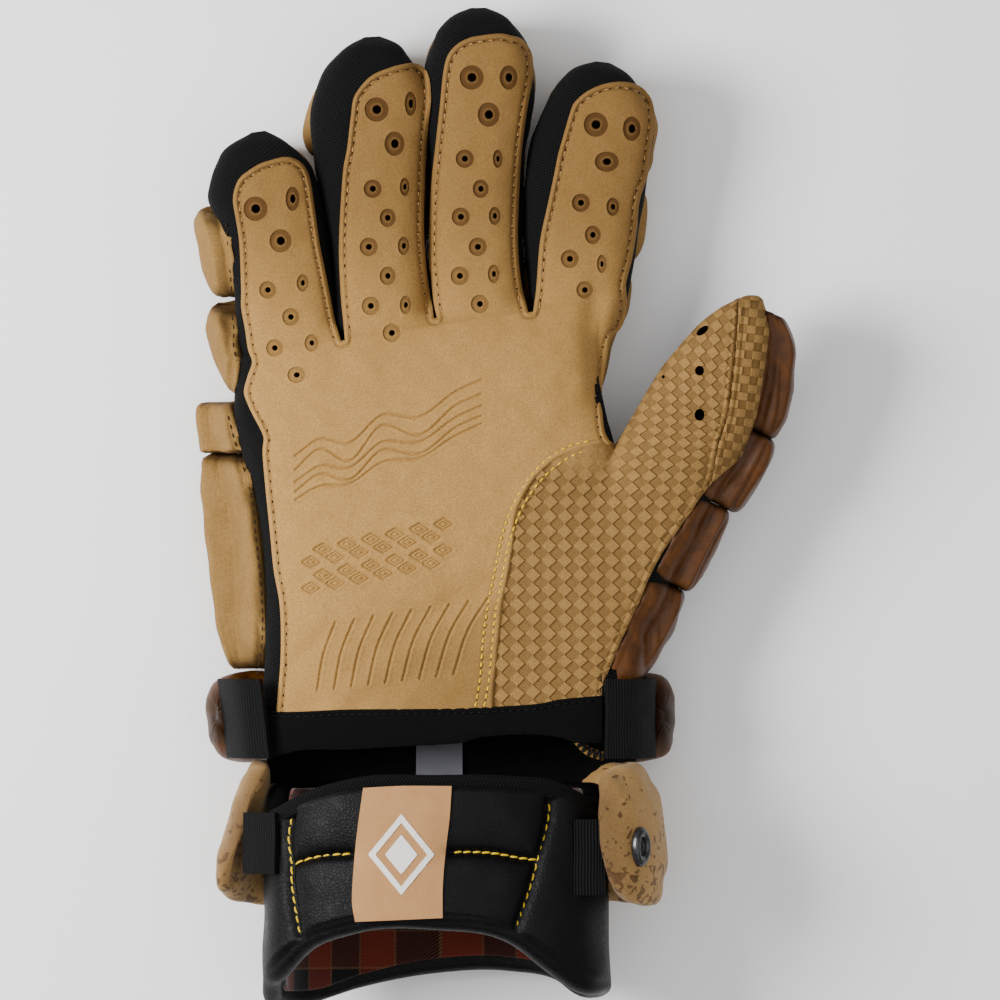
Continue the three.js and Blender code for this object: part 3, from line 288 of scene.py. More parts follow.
class Look:
    """A node material, built up from short calls."""

    def __init__(self, name, roughness=0.8, specular=0.3, sheen=0.0):
        self.material = bpy.data.materials.new(name)
        self.material.use_nodes = True
        self.tree = self.material.node_tree
        self.shader = self.tree.nodes["Principled BSDF"]
        self.shader.inputs["Roughness"].default_value = roughness
        self.shader.inputs["Specular IOR Level"].default_value = specular
        self.shader.inputs["Sheen Weight"].default_value = sheen
        self.place = self.add("ShaderNodeTexCoord").outputs

    def add(self, kind, out=None, props=None, **inputs):
        node = self.tree.nodes.new(kind)
        for key, value in (props or {}).items():
            setattr(node, key, value)
        for key, value in inputs.items():
            socket = node.inputs[int(key[1:])] if key[0] == "i" and key[1:].isdigit() else node.inputs[key]
            if isinstance(value, bpy.types.NodeSocket):
                self.tree.links.new(value, socket)
            else:
                socket.default_value = value
        return node if out is None else node.outputs[out]

    def math(self, operation, a, b=0.0, c=0.0):
        return self.add("ShaderNodeMath", 0, {"operation": operation}, i0=a, i1=b, i2=c)

    def millimetres(self):
        """Place on the piece in millimetres."""
        return self.add("ShaderNodeMapping", 0, None, Vector=self.place["Object"], Scale=(1 / MM,) * 3)

    def noise(self, scale, detail=3.0, rough=0.55, distortion=0.0):
        """Noise with grains of about 1 / scale millimetres."""
        return self.add("ShaderNodeTexNoise", 0, None, Vector=self.millimetres(), Scale=scale, Detail=detail,
                        Roughness=rough, Distortion=distortion)

    def sine(self, value):
        return self.math("SINE", value)

    def times(self, value, factor):
        return self.math("MULTIPLY", value, factor)

    def waves(self, value, length, size=0.5):
        """Waves along a value, from 0 to twice their size."""
        return self.math("MULTIPLY_ADD", self.sine(self.times(value, 2 * math.pi / length)), size, size)

    def spotted(self, noise, low, high, share, color, spot):
        """Colour with spots of another one where a noise is high."""
        return self.mix(self.times(self.ramp(noise, (low, 0.0), (high, 1.0)), share), color, spot)

    def ramp(self, fac, *stops):
        node = self.add("ShaderNodeValToRGB", None, None, Fac=fac)
        elements = node.color_ramp.elements
        while len(elements) < len(stops):
            elements.new(0.5)
        for element, (place, value) in zip(elements, stops):
            element.position = place
            element.color = value if hasattr(value, "__len__") else (value, value, value, 1)
        return node.outputs[0]

    def mix(self, fac, a, b):
        node = self.add("ShaderNodeMix", None, {"data_type": "RGBA"})
        for socket, value in ((node.inputs[0], fac), (node.inputs[6], a), (node.inputs[7], b)):
            if isinstance(value, bpy.types.NodeSocket):
                self.tree.links.new(value, socket)
            else:
                socket.default_value = value
        return node.outputs[2]

    def attribute(self, name):
        return self.add("ShaderNodeAttribute", 2, {"attribute_name": name})

    def bump(self, height, distance, strength=1.0):
        return self.add("ShaderNodeBump", 0, None, Height=height, Strength=strength, Distance=distance)

    def uv(self):
        split = self.add("ShaderNodeSeparateXYZ", None, None, Vector=self.place["UV"])
        return split.outputs[0], split.outputs[1]

    def finish(self, color=None, normal=None, rough=None):
        for name, value in (("Base Color", color), ("Normal", normal), ("Roughness", rough)):
            if isinstance(value, bpy.types.NodeSocket):
                self.tree.links.new(value, self.shader.inputs[name])
            elif value is not None:
                self.shader.inputs[name].default_value = value
        return self.material


def suede(name, light, dark, deep, grain=1.7, roughness=0.86):
    """Napped leather: fine grain, soft blotches, darker where tone is high (pressed marks and painted shade).
    """
    look = Look(name, roughness, 0.12)
    fine = look.noise(grain, 4, 0.65)
    blotch = look.noise(0.11, 3, 0.6)
    worn = look.ramp(look.noise(0.5, 4, 0.7), (0.35, 0.0), (0.7, 1.0))
    color = look.mix(look.ramp(fine, (0.34, 0.0), (0.68, 1.0)), dark, light)
    color = look.spotted(blotch, 0.4, 0.72, 0.35, color, dark)
    color = look.mix(look.times(worn, 0.12), color, light)
    # tone darkens towards deep: pressed rings, checks and edge groove, and painted shade on fingers, lower
    # palm, pad ends and under sides
    color = look.mix(look.attribute("tone"), color, deep)
    height = look.math("ADD", look.times(fine, 0.7), look.times(worn, 0.2))
    return look.finish(color, look.bump(height, 0.00022, 0.75))


def smooth_leather(name, light, dark, deep, roughness=0.42):
    """Smooth caramel leather with fine creases."""
    look = Look(name, roughness, 0.2)
    fine = look.noise(1.3, 5, 0.7)
    blotch = look.noise(0.16, 4, 0.6, 0.6)
    color = look.mix(look.ramp(blotch, (0.3, 0.0), (0.72, 1.0)), dark, light)
    color = look.spotted(fine, 0.4, 0.75, 0.3, color, dark)
    # tone darkens towards deep: painted shade at the ends of the rolls
    color = look.mix(look.attribute("tone"), color, deep)
    rough = look.ramp(fine, (0.3, roughness - 0.06), (0.8, roughness + 0.14))
    return look.finish(color, look.bump(fine, 0.0002, 0.55), rough)


def knit(name, base, light, pitch=1.25, roughness=0.85):
    """Black mesh knit of small slanted loops."""
    look = Look(name, roughness, 0.12)
    u, v = look.uv()
    k = 2 * math.pi / pitch
    one = look.sine(look.math("MULTIPLY_ADD", v, k * 0.5, look.times(u, k)))
    two = look.sine(look.math("MULTIPLY_ADD", v, k * 0.95, look.times(u, -k * 0.5)))
    loops = look.math("MULTIPLY_ADD", look.times(one, two), 0.5, 0.5)
    fine = look.noise(2.6, 2, 0.6)
    height = look.math("MULTIPLY_ADD", fine, 0.3, loops)
    color = look.mix(look.ramp(height, (0.35, 0.0), (1.0, 1.0)), base, light)
    return look.finish(color, look.bump(height, 0.00045, 0.9))


def ribbed(name, base, light, pitch=1.3, weft=0.5, roughness=0.8):
    """Elastic webbing with ribs along V and a fine weft."""
    look = Look(name, roughness, 0.15)
    u, v = look.uv()
    height = look.math("ADD", look.waves(u, pitch), look.waves(v, weft, 0.2))
    color = look.mix(look.ramp(height, (0.3, 0.0), (1.2, 1.0)), base, light)
    return look.finish(color, look.bump(height, 0.0004, 0.8))


def vinyl(name):
    """Black pebbled cuff leather with a soft shine."""
    look = Look(name, 0.46, 0.1)
    place = look.millimetres()
    warp = look.noise(0.6, 2, 0.5)
    bent = look.add("ShaderNodeVectorMath", 0, {"operation": "ADD"}, i0=place, i1=warp)
    cells = look.add("ShaderNodeTexVoronoi", 0, {"feature": "DISTANCE_TO_EDGE"}, Vector=bent, Scale=0.85)
    pebble = look.ramp(cells, (0.0, 0.0), (0.22, 1.0))
    fine = look.noise(2.2, 3, 0.6)
    height = look.math("MULTIPLY_ADD", fine, 0.35, pebble)
    color = look.mix(look.noise(0.2, 3, 0.6), rgb(3, 3, 4), rgb(9, 9, 11))
    rough = look.ramp(look.noise(0.4, 3, 0.6), (0.3, 0.4), (0.75, 0.54))
    return look.finish(color, look.bump(height, 0.00016, 0.42), rough)


def herringbone(name):
    """Black binding tape woven in a herringbone."""
    look = Look(name, 0.8, 0.1)
    u, v = look.uv()
    fold = look.math("PINGPONG", v, 1.3)
    slant = look.math("MULTIPLY_ADD", fold, 0.9, u)
    twill = look.waves(slant, 1.1)
    color = look.mix(twill, rgb(2, 2, 2), rgb(15, 15, 16))
    return look.finish(color, look.bump(twill, 0.0005, 0.9))


PLAID_PITCH = 25.0


def plaid(name):
    """Dark red and black checked flannel with thin pale lines."""
    look = Look(name, 0.95, 0.1, 0.3)
    u, v = look.uv()

    def bands(value):
        share = look.math("FRACT", look.math("DIVIDE", value, PLAID_PITCH))
        wide = look.ramp(share, (0.0, 0.0), (0.22, 0.0), (0.27, 1.0), (0.72, 1.0), (0.77, 0.0))
        thin = look.ramp(look.math("FRACT", look.math("DIVIDE", value, PLAID_PITCH / 2)),
                         (0.0, 0.0), (0.46, 0.0), (0.485, 1.0), (0.515, 1.0), (0.54, 0.0))
        return wide, thin

    (wide_u, thin_u), (wide_v, thin_v) = bands(u), bands(v)
    twill = look.math("GREATER_THAN", look.sine(look.times(look.math("ADD", u, v), 5.2)), 0.0)
    color = look.mix(wide_u, rgb(96, 32, 20), rgb(16, 12, 13))
    other = look.mix(wide_v, rgb(110, 46, 26), rgb(12, 10, 13))
    color = look.mix(look.times(twill, 0.5), color, other)
    line = look.math("MAXIMUM", thin_u, thin_v)
    dash = look.math("MULTIPLY_ADD", twill, 0.5, 0.1)
    color = look.mix(look.times(line, dash), color, rgb(120, 92, 60))
    fuzz = look.noise(1.5, 4, 0.7)
    color = look.mix(look.times(fuzz, 0.5), color, rgb(8, 7, 8))
    return look.finish(color, look.bump(fuzz, 0.0003, 0.6))


def woven(name, light, dark, pitch=0.55, roughness=0.7, sheen=0.2):
    """Fine even weave of a label or badge."""
    look = Look(name, roughness, 0.3, sheen)
    u, v = look.uv()
    k = 2 * math.pi / pitch
    weave = look.times(look.sine(look.times(u, k)), look.sine(look.times(v, k)))
    height = look.math("MULTIPLY_ADD", weave, 0.5, 0.5)
    blotch = look.noise(0.12, 3, 0.6)
    color = look.mix(look.math("MULTIPLY_ADD", blotch, 0.5, look.times(height, 0.4)), dark, light)
    return look.finish(color, look.bump(height, 0.00025, 0.7))


def thread(name, light, dark, roughness=0.55):
    """Twisted thread."""
    look = Look(name, roughness, 0.15)
    twist = look.noise(3.0, 2, 0.5, 1.0)
    color = look.mix(look.ramp(twist, (0.35, 0.0), (0.65, 1.0)), dark, light)
    return look.finish(color, look.bump(twist, 0.0002, 0.7))


def plastic(name, base, roughness=0.35):
    """Moulded black plastic with faint marks."""
    look = Look(name, roughness, 0.5)
    marks = look.noise(0.9, 4, 0.6)
    rough = look.ramp(marks, (0.3, roughness - 0.08), (0.8, roughness + 0.15))
    color = look.mix(marks, base, rgb(30, 30, 33))
    return look.finish(color, look.bump(marks, 0.0001, 0.4), rough)


def splattered(name, light, dark, deep, spot):
    """Tan padding leather with brown splashes towards its lower end."""
    look = Look(name, 0.8, 0.25, 0.1)
    fine = look.noise(1.5, 4, 0.65)
    blotch = look.noise(0.12, 3, 0.6)
    color = look.mix(look.ramp(fine, (0.34, 0.0), (0.68, 1.0)), dark, light)
    color = look.spotted(blotch, 0.42, 0.72, 0.3, color, dark)
    drops = look.noise(0.19, 1.2, 0.5, 0.5)
    small = look.noise(0.42, 1.0, 0.5, 0.2)
    edge = look.math("MULTIPLY_ADD", look.attribute("splash"), 0.13, look.math("MAXIMUM", drops, small))
    mask = look.ramp(edge, (0.712, 0.0), (0.728, 1.0))
    rim = look.ramp(edge, (0.712, 0.0), (0.728, 1.0), (0.775, 0.72))
    color = look.mix(look.times(mask, rim), color, spot)
    # tone darkens towards deep: painted shade at the ends of the guard
    color = look.mix(look.attribute("tone"), color, deep)
    return look.finish(color, look.bump(fine, 0.00022, 0.7))


SUEDE = suede("tan_suede", rgb(170, 132, 76), rgb(140, 104, 54), rgb(62, 38, 14))
THUMB_SUEDE = suede("tan_suede_checked", rgb(150, 117, 69), rgb(121, 90, 47), rgb(66, 42, 17))
PAD_SUEDE = suede("tan_padding", rgb(141, 109, 62), rgb(115, 86, 45), rgb(52, 32, 12), 1.3, 0.8)
SPLASHED = splattered("tan_splashed", rgb(166, 130, 76), rgb(138, 104, 56), rgb(58, 36, 14), rgb(78, 48, 18))
BROWN = smooth_leather("brown_leather", rgb(90, 50, 8), rgb(58, 30, 4), rgb(9, 4, 1))
KNIT = knit("black_knit", rgb(1, 1, 1), rgb(16, 16, 17), 1.45)
BAND = knit("black_band", rgb(3, 3, 3), rgb(11, 11, 12), 0.7, 0.9)
ELASTIC = ribbed("black_elastic", rgb(2, 2, 2), rgb(12, 12, 13), 0.95)
VINYL = vinyl("black_vinyl")
TAPE = herringbone("black_herringbone")
PLAID = plaid("plaid_flannel")
COPPER = woven("copper_weave", rgb(192, 144, 92), rgb(148, 102, 58))
WHITE = woven("white_weave", rgb(240, 238, 232), rgb(205, 200, 190), 0.8)
LABEL = woven("grey_weave", rgb(122, 122, 132), rgb(92, 92, 100), 0.45)
YELLOW = thread("yellow_thread", rgb(240, 204, 40), rgb(176, 138, 24))
TAN_THREAD = thread("tan_thread", rgb(190, 148, 92), rgb(110, 76, 40))
DARK_THREAD = thread("dark_thread", rgb(46, 28, 12), rgb(22, 12, 5))
BLACK_THREAD = thread("black_thread", rgb(13, 13, 13), rgb(4, 4, 4))
SEAM_THREAD = thread("grey_thread", rgb(60, 60, 64), rgb(22, 22, 24))
RING = plastic("black_plastic", rgb(5, 5, 6), 0.25)


# Meshes
def make(name, points, faces, look, nodes=(), uv=None, tone=None, splash=None, sharp=None):
    """A named piece from points in millimetres; it rides on the frame."""
    mesh = bpy.data.meshes.new(name)
    mesh.from_pydata((np.asarray(points, float) * MM).tolist(), [], [list(map(int, f)) for f in faces])
    mesh.validate()
    mesh.materials.append(look)
    if uv is not None:
        corners = np.empty(len(mesh.loops), int)
        mesh.loops.foreach_get("vertex_index", corners)
        layer = mesh.uv_layers.new(name="UVMap")
        layer.data.foreach_set("uv", np.asarray(np.asarray(uv)[corners], np.float32).ravel())
    for title, values in (("tone", tone), ("splash", splash)):
        if values is not None:
            mesh.attributes.new(title, "FLOAT", "POINT").data.foreach_set(
                "value", np.asarray(values, np.float32))
    mesh.polygons.foreach_set("use_smooth", [True] * len(mesh.polygons))
    if sharp is not None:
        mesh.set_sharp_from_angle(angle=math.radians(sharp))
    piece = bpy.data.objects.new(name, mesh)
    bpy.context.scene.collection.objects.link(piece)
    if nodes:
        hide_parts(*nodes)
    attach(piece, "root")
    return piece


def grid_faces(rows, sides, ends=False, close_rows=False):
    """Quads over rings of points; ends closes the first and last ring with a fan round an added point,
    close_rows joins the last ring to the first."""
    faces = []
    for r in range(rows if close_rows else rows - 1):
        n = (r + 1) % rows
        for s in range(sides):
            t = (s + 1) % sides
            faces.append((r * sides + s, r * sides + t, n * sides + t, n * sides + s))
    if ends:
        first, final = rows * sides, rows * sides + 1
        for s in range(sides):
            t = (s + 1) % sides
            faces.append((first, t, s))
            faces.append((final, (rows - 1) * sides + s, (rows - 1) * sides + t))
    return faces


def tube(rings):
    """Points and faces of a closed body through rings, with UVs in millimetres."""
    rings = np.asarray(rings, float)
    rows, sides = rings.shape[:2]
    points = np.vstack([rings.reshape(-1, 3), rings[0].mean(axis=0), rings[-1].mean(axis=0)])
    faces = grid_faces(rows, sides, ends=True)
    around = np.linalg.norm(np.roll(rings, -1, axis=1) - rings, axis=2).cumsum(axis=1)
    around = np.hstack([np.zeros((rows, 1)), around[:, :-1]])
    around = around * (around[:, -1].max() / np.maximum(around[:, -1:], 1e-6)) * 0.5 + around * 0.5
    along = np.r_[0, np.cumsum(np.linalg.norm(np.diff(rings.mean(axis=1), axis=0), axis=1))]
    uv = np.stack([around, np.repeat(along[:, None], sides, axis=1)], axis=2).reshape(-1, 2)
    uv = np.vstack([uv, [0, along[0]], [0, along[-1]]])
    return points, faces, uv


def squarish(sides, power):
    """Unit section with squareness, as (sides, 2)."""
    turn = (np.arange(sides) + 0.5) / sides * 2 * np.pi
    c, s = np.cos(turn), np.sin(turn)
    return np.stack([np.sign(c) * np.abs(c) ** (2 / power), np.sign(s) * np.abs(s) ** (2 / power)], axis=1)


def sheet_panel(name, outline, top, thickness, pitch, look, nodes=(), holes=(), lines=(),
                extra=None, tone=None):
    """Closed sheet of leather over a plan outline. top gives its height at plan points; holes are
    (x, y, half width, half height, turn) cut right through; lines are kept as edges of its mesh, and
    extra takes the place of its grid of points."""
    low, high = outline.min(axis=0) - pitch, outline.max(axis=0) + pitch
    rings = [ellipse(*hole) for hole in holes]

    def fill(grid, marks):
        keep = inside(grid, outline)
        near_edge, _, _ = nearest(grid, outline, True, 0.3)
        keep &= near_edge > pitch * 0.45
        for ring, hole in zip(rings, holes):
            away = np.abs(grid[:, 0] - hole[0]) + np.abs(grid[:, 1] - hole[1])
            close = away < 3 * max(hole[2], hole[3])
            x, y, half_width, half_height, turn = hole
            wider = ellipse(x, y, half_width + 0.15, half_height + 0.15, turn)
            keep[close] &= ~inside(grid[close], wider)
        grid = grid[keep]
        loops = [outline] + rings
        points, edges = [], []
        for loop in loops:
            start = sum(map(len, points))
            count = len(loop)
            points.append(loop)
            edges += [(start + i, start + (i + 1) % count) for i in range(count)]
        for mark in marks:
            start = sum(map(len, points))
            points.append(mark)
            edges += [(start + i, start + i + 1) for i in range(len(mark) - 1)]
        points = np.vstack(points + [grid])
        found = delaunay_2d_cdt([Vector(p) for p in points], edges, [], 0, 1e-5)
        plan = np.array([(v.x, v.y) for v in found[0]])
        tris = np.array([f for f in found[2] if len(f) == 3])
        middle = plan[tris].mean(axis=1)
        good = inside(middle, outline)
        for ring in rings:
            close = ((middle > ring.min(axis=0)) & (middle < ring.max(axis=0))).all(axis=1)
            good[close] &= ~inside(middle[close], ring)
        a, b, c = (plan[tris[:, k]] for k in range(3))
        area = (b[:, 0] - a[:, 0]) * (c[:, 1] - a[:, 1]) - (b[:, 1] - a[:, 1]) * (c[:, 0] - a[:, 0])
        tris[area < 0] = tris[area < 0][:, ::-1]
        return plan, tris[good & (np.abs(area) > 1e-7)]

    if extra is None:
        xs, ys = np.arange(low[0], high[0], pitch), np.arange(low[1], high[1], pitch * 0.87)
        grid = np.array([(x + (j % 2) * pitch / 2, y) for j, y in enumerate(ys) for x in xs])
    else:
        grid = extra
    plan, tris = fill(grid, lines)
    wide = pitch * 4
    coarse_x, coarse_y = np.arange(low[0], high[0], wide), np.arange(low[1], high[1], wide)
    coarse = np.array([(x, y) for y in coarse_y for x in coarse_x])
    under_plan, under = fill(coarse, [])
    height = top(plan)
    under_height = top(under_plan, False) - thickness
    points = np.vstack([np.column_stack([plan, height]), np.column_stack([under_plan, under_height])])
    count = len(plan)
    faces = tris.tolist() + (under[:, ::-1] + count).tolist()
    spot = lambda p: (round(p[0], 4), round(p[1], 4))
    lookup = {spot(p): i for i, p in enumerate(under_plan)}
    for a, b in open_edges(tris):
        under_a, under_b = lookup.get(spot(plan[a])), lookup.get(spot(plan[b]))
        if under_a is not None and under_b is not None:
            faces.append((b, a, under_a + count, under_b + count))
    shade = None
    if tone is not None:
        # the under side takes tone 0.6: painted shade under the sheet and down its cut edge
        shade = np.r_[tone(plan), np.full(len(under_plan), 0.6)]
    return make(name, points, faces, look, nodes, uv=points[:, :2], tone=shade, sharp=40)


def open_edges(faces):
    """Edges that only one face has, in the order of the faces."""
    edges = {}
    for face in faces:
        for i in range(len(face)):
            edges[(face[i], face[(i + 1) % len(face)])] = 1
    return [(a, b) for a, b in edges if (b, a) not in edges]


def ellipse(x, y, half_width, half_height, turn=0.0):
    """Outline of an ellipse."""
    count = max(16, int(max(half_width, half_height) * 10))
    a = np.linspace(0, 2 * np.pi, count, endpoint=False)
    c, s = math.cos(turn), math.sin(turn)
    px, py = np.cos(a) * half_width, np.sin(a) * half_height
    return np.stack([x + px * c - py * s, y + px * s + py * c], axis=1)


def capsules(name, stops, radius, look, sides=6, rings=5, dip=0.0):
    """Stitches: a bent capsule between each pair of 3-D points, ends dipping into the cloth.
    stops is a list of (start, end, up) with points in millimetres."""
    points, faces = [], []
    t = np.linspace(0, 1, rings)
    size = np.sqrt(np.maximum(1 - (2 * t - 1) ** 4, 0)) * 0.9 + 0.1
    turn = np.arange(sides) / sides * 2 * np.pi
    for start, end, up in stops:
        start, end, up = (np.asarray(v, float) for v in (start, end, up))
        way = end - start
        way = way / max(np.linalg.norm(way), 1e-9)
        side = np.cross(way, up)
        side /= max(np.linalg.norm(side), 1e-9)
        lift = np.cross(side, way)
        first = len(points)
        for share, scale in zip(t, size):
            middle = start + (end - start) * share + lift * (-dip * (2 * share - 1) ** 2)
            for a in turn:
                points.append(middle + (side * math.cos(a) + lift * math.sin(a)) * radius * scale)
        for r in range(rings - 1):
            for s in range(sides):
                n = (s + 1) % sides
                a = first + r * sides
                faces.append((a + s, a + n, a + sides + n, a + sides + s))
        faces.append([first + s for s in reversed(range(sides))])
        faces.append([first + (rings - 1) * sides + s for s in range(sides)])
    return make(name, points, faces, look)


def stitch_row(line, surface, pitch, length, lift=0.1, skew=0.0):
    """Stitches of a length at a pitch along a plan line, laid on a surface."""
    stops = even(np.asarray(line, float), pitch)
    out = []
    for a, b in zip(stops[:-1], stops[1:]):
        middle, half = (a + b) / 2, (b - a) / 2 * (length / pitch)
        side = np.array([-half[1], half[0]]) * skew
        p, q = middle - half - side, middle + half + side
        z = surface(np.array([p, q, p + (0.3, 0), p + (0, 0.3)]))
        up = np.array([-(z[2] - z[0]) / 0.3, -(z[3] - z[0]) / 0.3, 1.0])
        up /= np.linalg.norm(up)
        out.append((np.r_[p, z[0]] + up * lift, np.r_[q, z[1]] + up * lift, up))
    return out


def add_camera():
    """Camera straight down on the palm, three pixels to the millimetre at the height of the fingers."""
    data = bpy.data.cameras.new("camera")
    camera = bpy.data.objects.new("camera", data)
    bpy.context.scene.collection.objects.link(camera)
    distance, level, field = 6.0, 0.036, 1 / 3
    data.sensor_width = 36
    data.lens = data.sensor_width * distance / field
    data.clip_start, data.clip_end = 0.1, 50
    middle = at(500, 500)
    camera.location = (middle[0] * MM, middle[1] * MM, level + distance)
    bpy.context.scene.camera = camera


add_camera()


def base_of(points):
    return palm_side(points[:, 0], points[:, 1])


# Leather of the palm and the fingers
PALM_RUNS = [
    [(276, 717), (278, 695), (281, 655), (280, 605), (274, 570), (270, 530), (266, 490), (263, 450),
     (264, 438), (260, 428), (253, 415), (247, 402), (244, 392), (248, 375), (252, 362), (248, 350),
     (245, 330), (241, 307), (241, 290), (239, 240), (236, 220), (233, 200), (235, 188), (240, 178),
     (250, 170), (260, 164), (272, 160), (285, 157), (293, 158), (302, 163), (308, 172), (311, 183),
     (315, 210), (320, 245), (324, 265), (330, 295), (335, 320), (341, 341)],
    [(345, 340), (343, 320), (341, 300), (339, 260), (339, 240), (341, 200), (344, 165), (347, 150),
     (351, 117), (354, 98), (360, 88), (367, 80), (375, 74), (390, 68), (400, 65), (413, 63), (420, 65),
     (427, 72), (431, 95), (428, 130), (425, 180), (424, 230), (426, 262), (428, 280), (432, 305),
     (434, 318)],
    [(437, 318), (434, 305), (431, 280), (429, 262), (429, 230), (430, 200), (432, 175), (436, 140),
     (440, 105), (443, 75), (446, 60), (450, 52), (458, 44), (470, 38), (480, 36), (502, 34), (512, 36),
     (520, 38), (527, 44), (532, 54), (533, 75), (528, 105), (525, 125), (522, 150), (519, 200),
     (518, 240), (521, 280), (528, 312)],
    [(533, 312), (536, 290), (539, 250), (541, 235), (548, 203), (554, 175), (558, 155), (563, 137),
     (570, 113), (573, 105), (580, 97), (590, 90), (605, 84), (625, 82), (640, 86), (651, 98),
     (655, 118), (652, 145), (650, 160), (648, 175), (640, 200), (637, 230), (632, 260), (628, 275),
     (626, 285), (627, 300), (626, 315), (621, 328), (613, 337), (609, 347), (604, 375), (602, 390),
     (603, 420), (606, 435), (614, 446)],
]
SEAM = [(614, 446), (600, 446), (585, 448), (570, 453), (555, 460), (545, 468), (535, 478), (525, 493),
        (516, 515), (513, 545), (508, 575), (503, 600), (500, 630), (497, 660), (494, 690), (493, 717)]
palm_edges = [curve(run, 0.8) for run in PALM_RUNS]
seam_edge = curve(SEAM, 0.8)
bottom_edge = curve([(493, 717), (450, 717), (350, 717), (276, 717)], 1.2)
palm_outline = np.vstack([*palm_edges, seam_edge[1:], bottom_edge[1:-1]])

THUMB_LEFT = [(614, 446), (620, 437), (630, 420), (640, 403), (660, 370), (680, 345), (700, 323), (710, 315),
              (720, 308), (737, 299)]
THUMB_SEAM = [(738, 299), (738, 305), (736, 340), (732, 380), (727, 415), (723, 430), (718, 445), (712, 475),
              (708, 487)]
THUMB_RIGHT = [(708, 487), (697, 502), (690, 513), (680, 527), (662, 553), (648, 580), (640, 600), (628, 625),
               (615, 655), (607, 675), (604, 690), (603, 706)]
under_palm = offset(curve(SEAM[::-1], 0.8), 2.2)
thumb_edges = [curve(THUMB_LEFT, 0.8), curve(THUMB_SEAM, 0.8), curve(THUMB_RIGHT, 0.8)]
thumb_outline = np.vstack([under_palm[:-3], *(e[1:] for e in thumb_edges)])
STRIP_TOP = [(738, 299), (745, 296), (758, 296), (763, 300)]
STRIP_RIGHT = [(763, 300), (769, 325), (766, 355), (761, 390), (755, 420), (748, 440), (740, 458), (722, 474),
               (708, 487)]
strip_edges = [curve(STRIP_TOP, 0.8), curve(STRIP_RIGHT, 0.8), curve(THUMB_SEAM[::-1], 0.8)]
strip_outline = np.vstack([edge[:-1] for edge in strip_edges])
palm_line = np.vstack(palm_edges)
thumb_rim = np.vstack([thumb_edges[0], strip_edges[0], strip_edges[1], thumb_edges[2]])


def covered(points, margin=1.8):
    """Which plan points lie well under the leather."""
    under = inside(points, palm_outline) | inside(points, thumb_outline) | inside(points, strip_outline)
    for rim in (palm_line, thumb_rim):
        under[under] &= nearest(points[under], rim, False, 0.5)[0] > margin
    return under


# Finger and thumb stalls, hand shell and back of the wrist
def stall_rings(digit, sides=88, rows=74, bulge=0.0, tip_out=0.0):
    """Rings of a stall: bulge makes it fuller all round, tip_out only on the left of its tip."""
    begin = digit.rows[0][0]
    t = np.linspace(0, 1, rows)
    along = begin + (1 - begin) * (1 - (1 - t) ** 1.35)
    along = np.r_[along[:-1], 0.9985]
    left, right, deep = digit.edges(along)
    unit = squarish(sides, STALL_POWER)
    rings = []
    for a, l, r, d in zip(along, left, right, deep):
        middle = (l + r) / 2
        half = (r - l) / 2
        fuller = tip_out * step(.6, .76, a) * (1 - step(.93, 1, a))
        side = middle + unit[:, 0] * (half + bulge) + np.minimum(unit[:, 0], 0) * fuller
        plan = digit.point(a, side[:, None])
        rings.append(np.column_stack([plan, digit.height(a) + unit[:, 1] * (d + bulge)]))
    return np.array(rings)


def soft_noise(points, scale, seed=0):
    """Smooth seeded waves of about a unit over points; scale is the wave length."""
    rng = np.random.default_rng(seed)
    total = np.zeros(len(points))
    for _ in range(9):
        way = rng.normal(size=3)
        way /= np.linalg.norm(way)
        length = scale * rng.uniform(0.7, 1.5)
        total += np.sin(points @ way * 2 * np.pi / length + rng.uniform(0, 6.28))
    return total / 4


def shell_piece(name, rings, thickness, look, nodes, keep=None, waves=0.25, seed=1):
    """Hollow piece from rings: an outer skin, an inner skin and a rim where it is open. keep says which
    faces stay; without it, those well under the leather go."""
    rings = np.asarray(rings, float)
    rows, sides = rings.shape[:2]
    flat = rings.reshape(-1, 3)
    flat = flat + unit_normals(rings).reshape(-1, 3) * (soft_noise(flat, 14, seed) * waves)[:, None]
    level = rings.mean(axis=(0, 1))[2]
    rings = flat.reshape(rows, sides, 3)
    inner = rings - unit_normals(rings) * thickness
    count = rows * sides
    quads = grid_faces(rows, sides)
    middles = rings.reshape(-1, 3)[np.array(quads)].mean(axis=1)
    good = ~(covered(middles[:, :2]) & (middles[:, 2] > level)) if keep is None else keep(middles)
    quads = [q for q, g in zip(quads, good) if g]
    faces = quads + [tuple(i + count for i in reversed(q)) for q in quads]
    faces += [(b, a, a + count, b + count) for a, b in open_edges(quads)]
    points = np.vstack([rings.reshape(-1, 3), inner.reshape(-1, 3)])
    _, _, uv = tube(rings)
    uv = np.vstack([uv[:-2], uv[:-2]])
    used = np.unique(np.concatenate([np.array(f) for f in faces]))
    remap = -np.ones(len(points), int)
    remap[used] = np.arange(len(used))
    faces = [tuple(remap[list(f)]) for f in faces]
    return make(name, points[used], faces, look, nodes, uv=uv[used])


def unit_normals(rings):
    """Outward normals of a grid of rings."""
    around = np.roll(rings, -1, axis=1) - np.roll(rings, 1, axis=1)
    along = np.gradient(rings, axis=0)
    normal = np.cross(around, along)
    normal /= np.maximum(np.linalg.norm(normal, axis=2), 1e-9)[:, :, None]
    centre = rings.mean(axis=1, keepdims=True)
    if ((rings - centre) * normal).sum() < 0:
        normal = -normal
    return normal


MESH_THICK, BAND_THICK = 1.6, 1.8
TIP_OUT = {"little": 3.4}
for place, name in enumerate(FINGERS):
    shell_piece(f"{name}_stall", stall_rings(DIGIT[name], tip_out=TIP_OUT.get(name, 0.0)), MESH_THICK, KNIT,
                [f"{name}_finger_mesh"], seed=3 + place)
shell_piece("thumb_stall", stall_rings(DIGIT["thumb"], bulge=-1.0), MESH_THICK, KNIT,
            ["thumb_mesh"], seed=9)


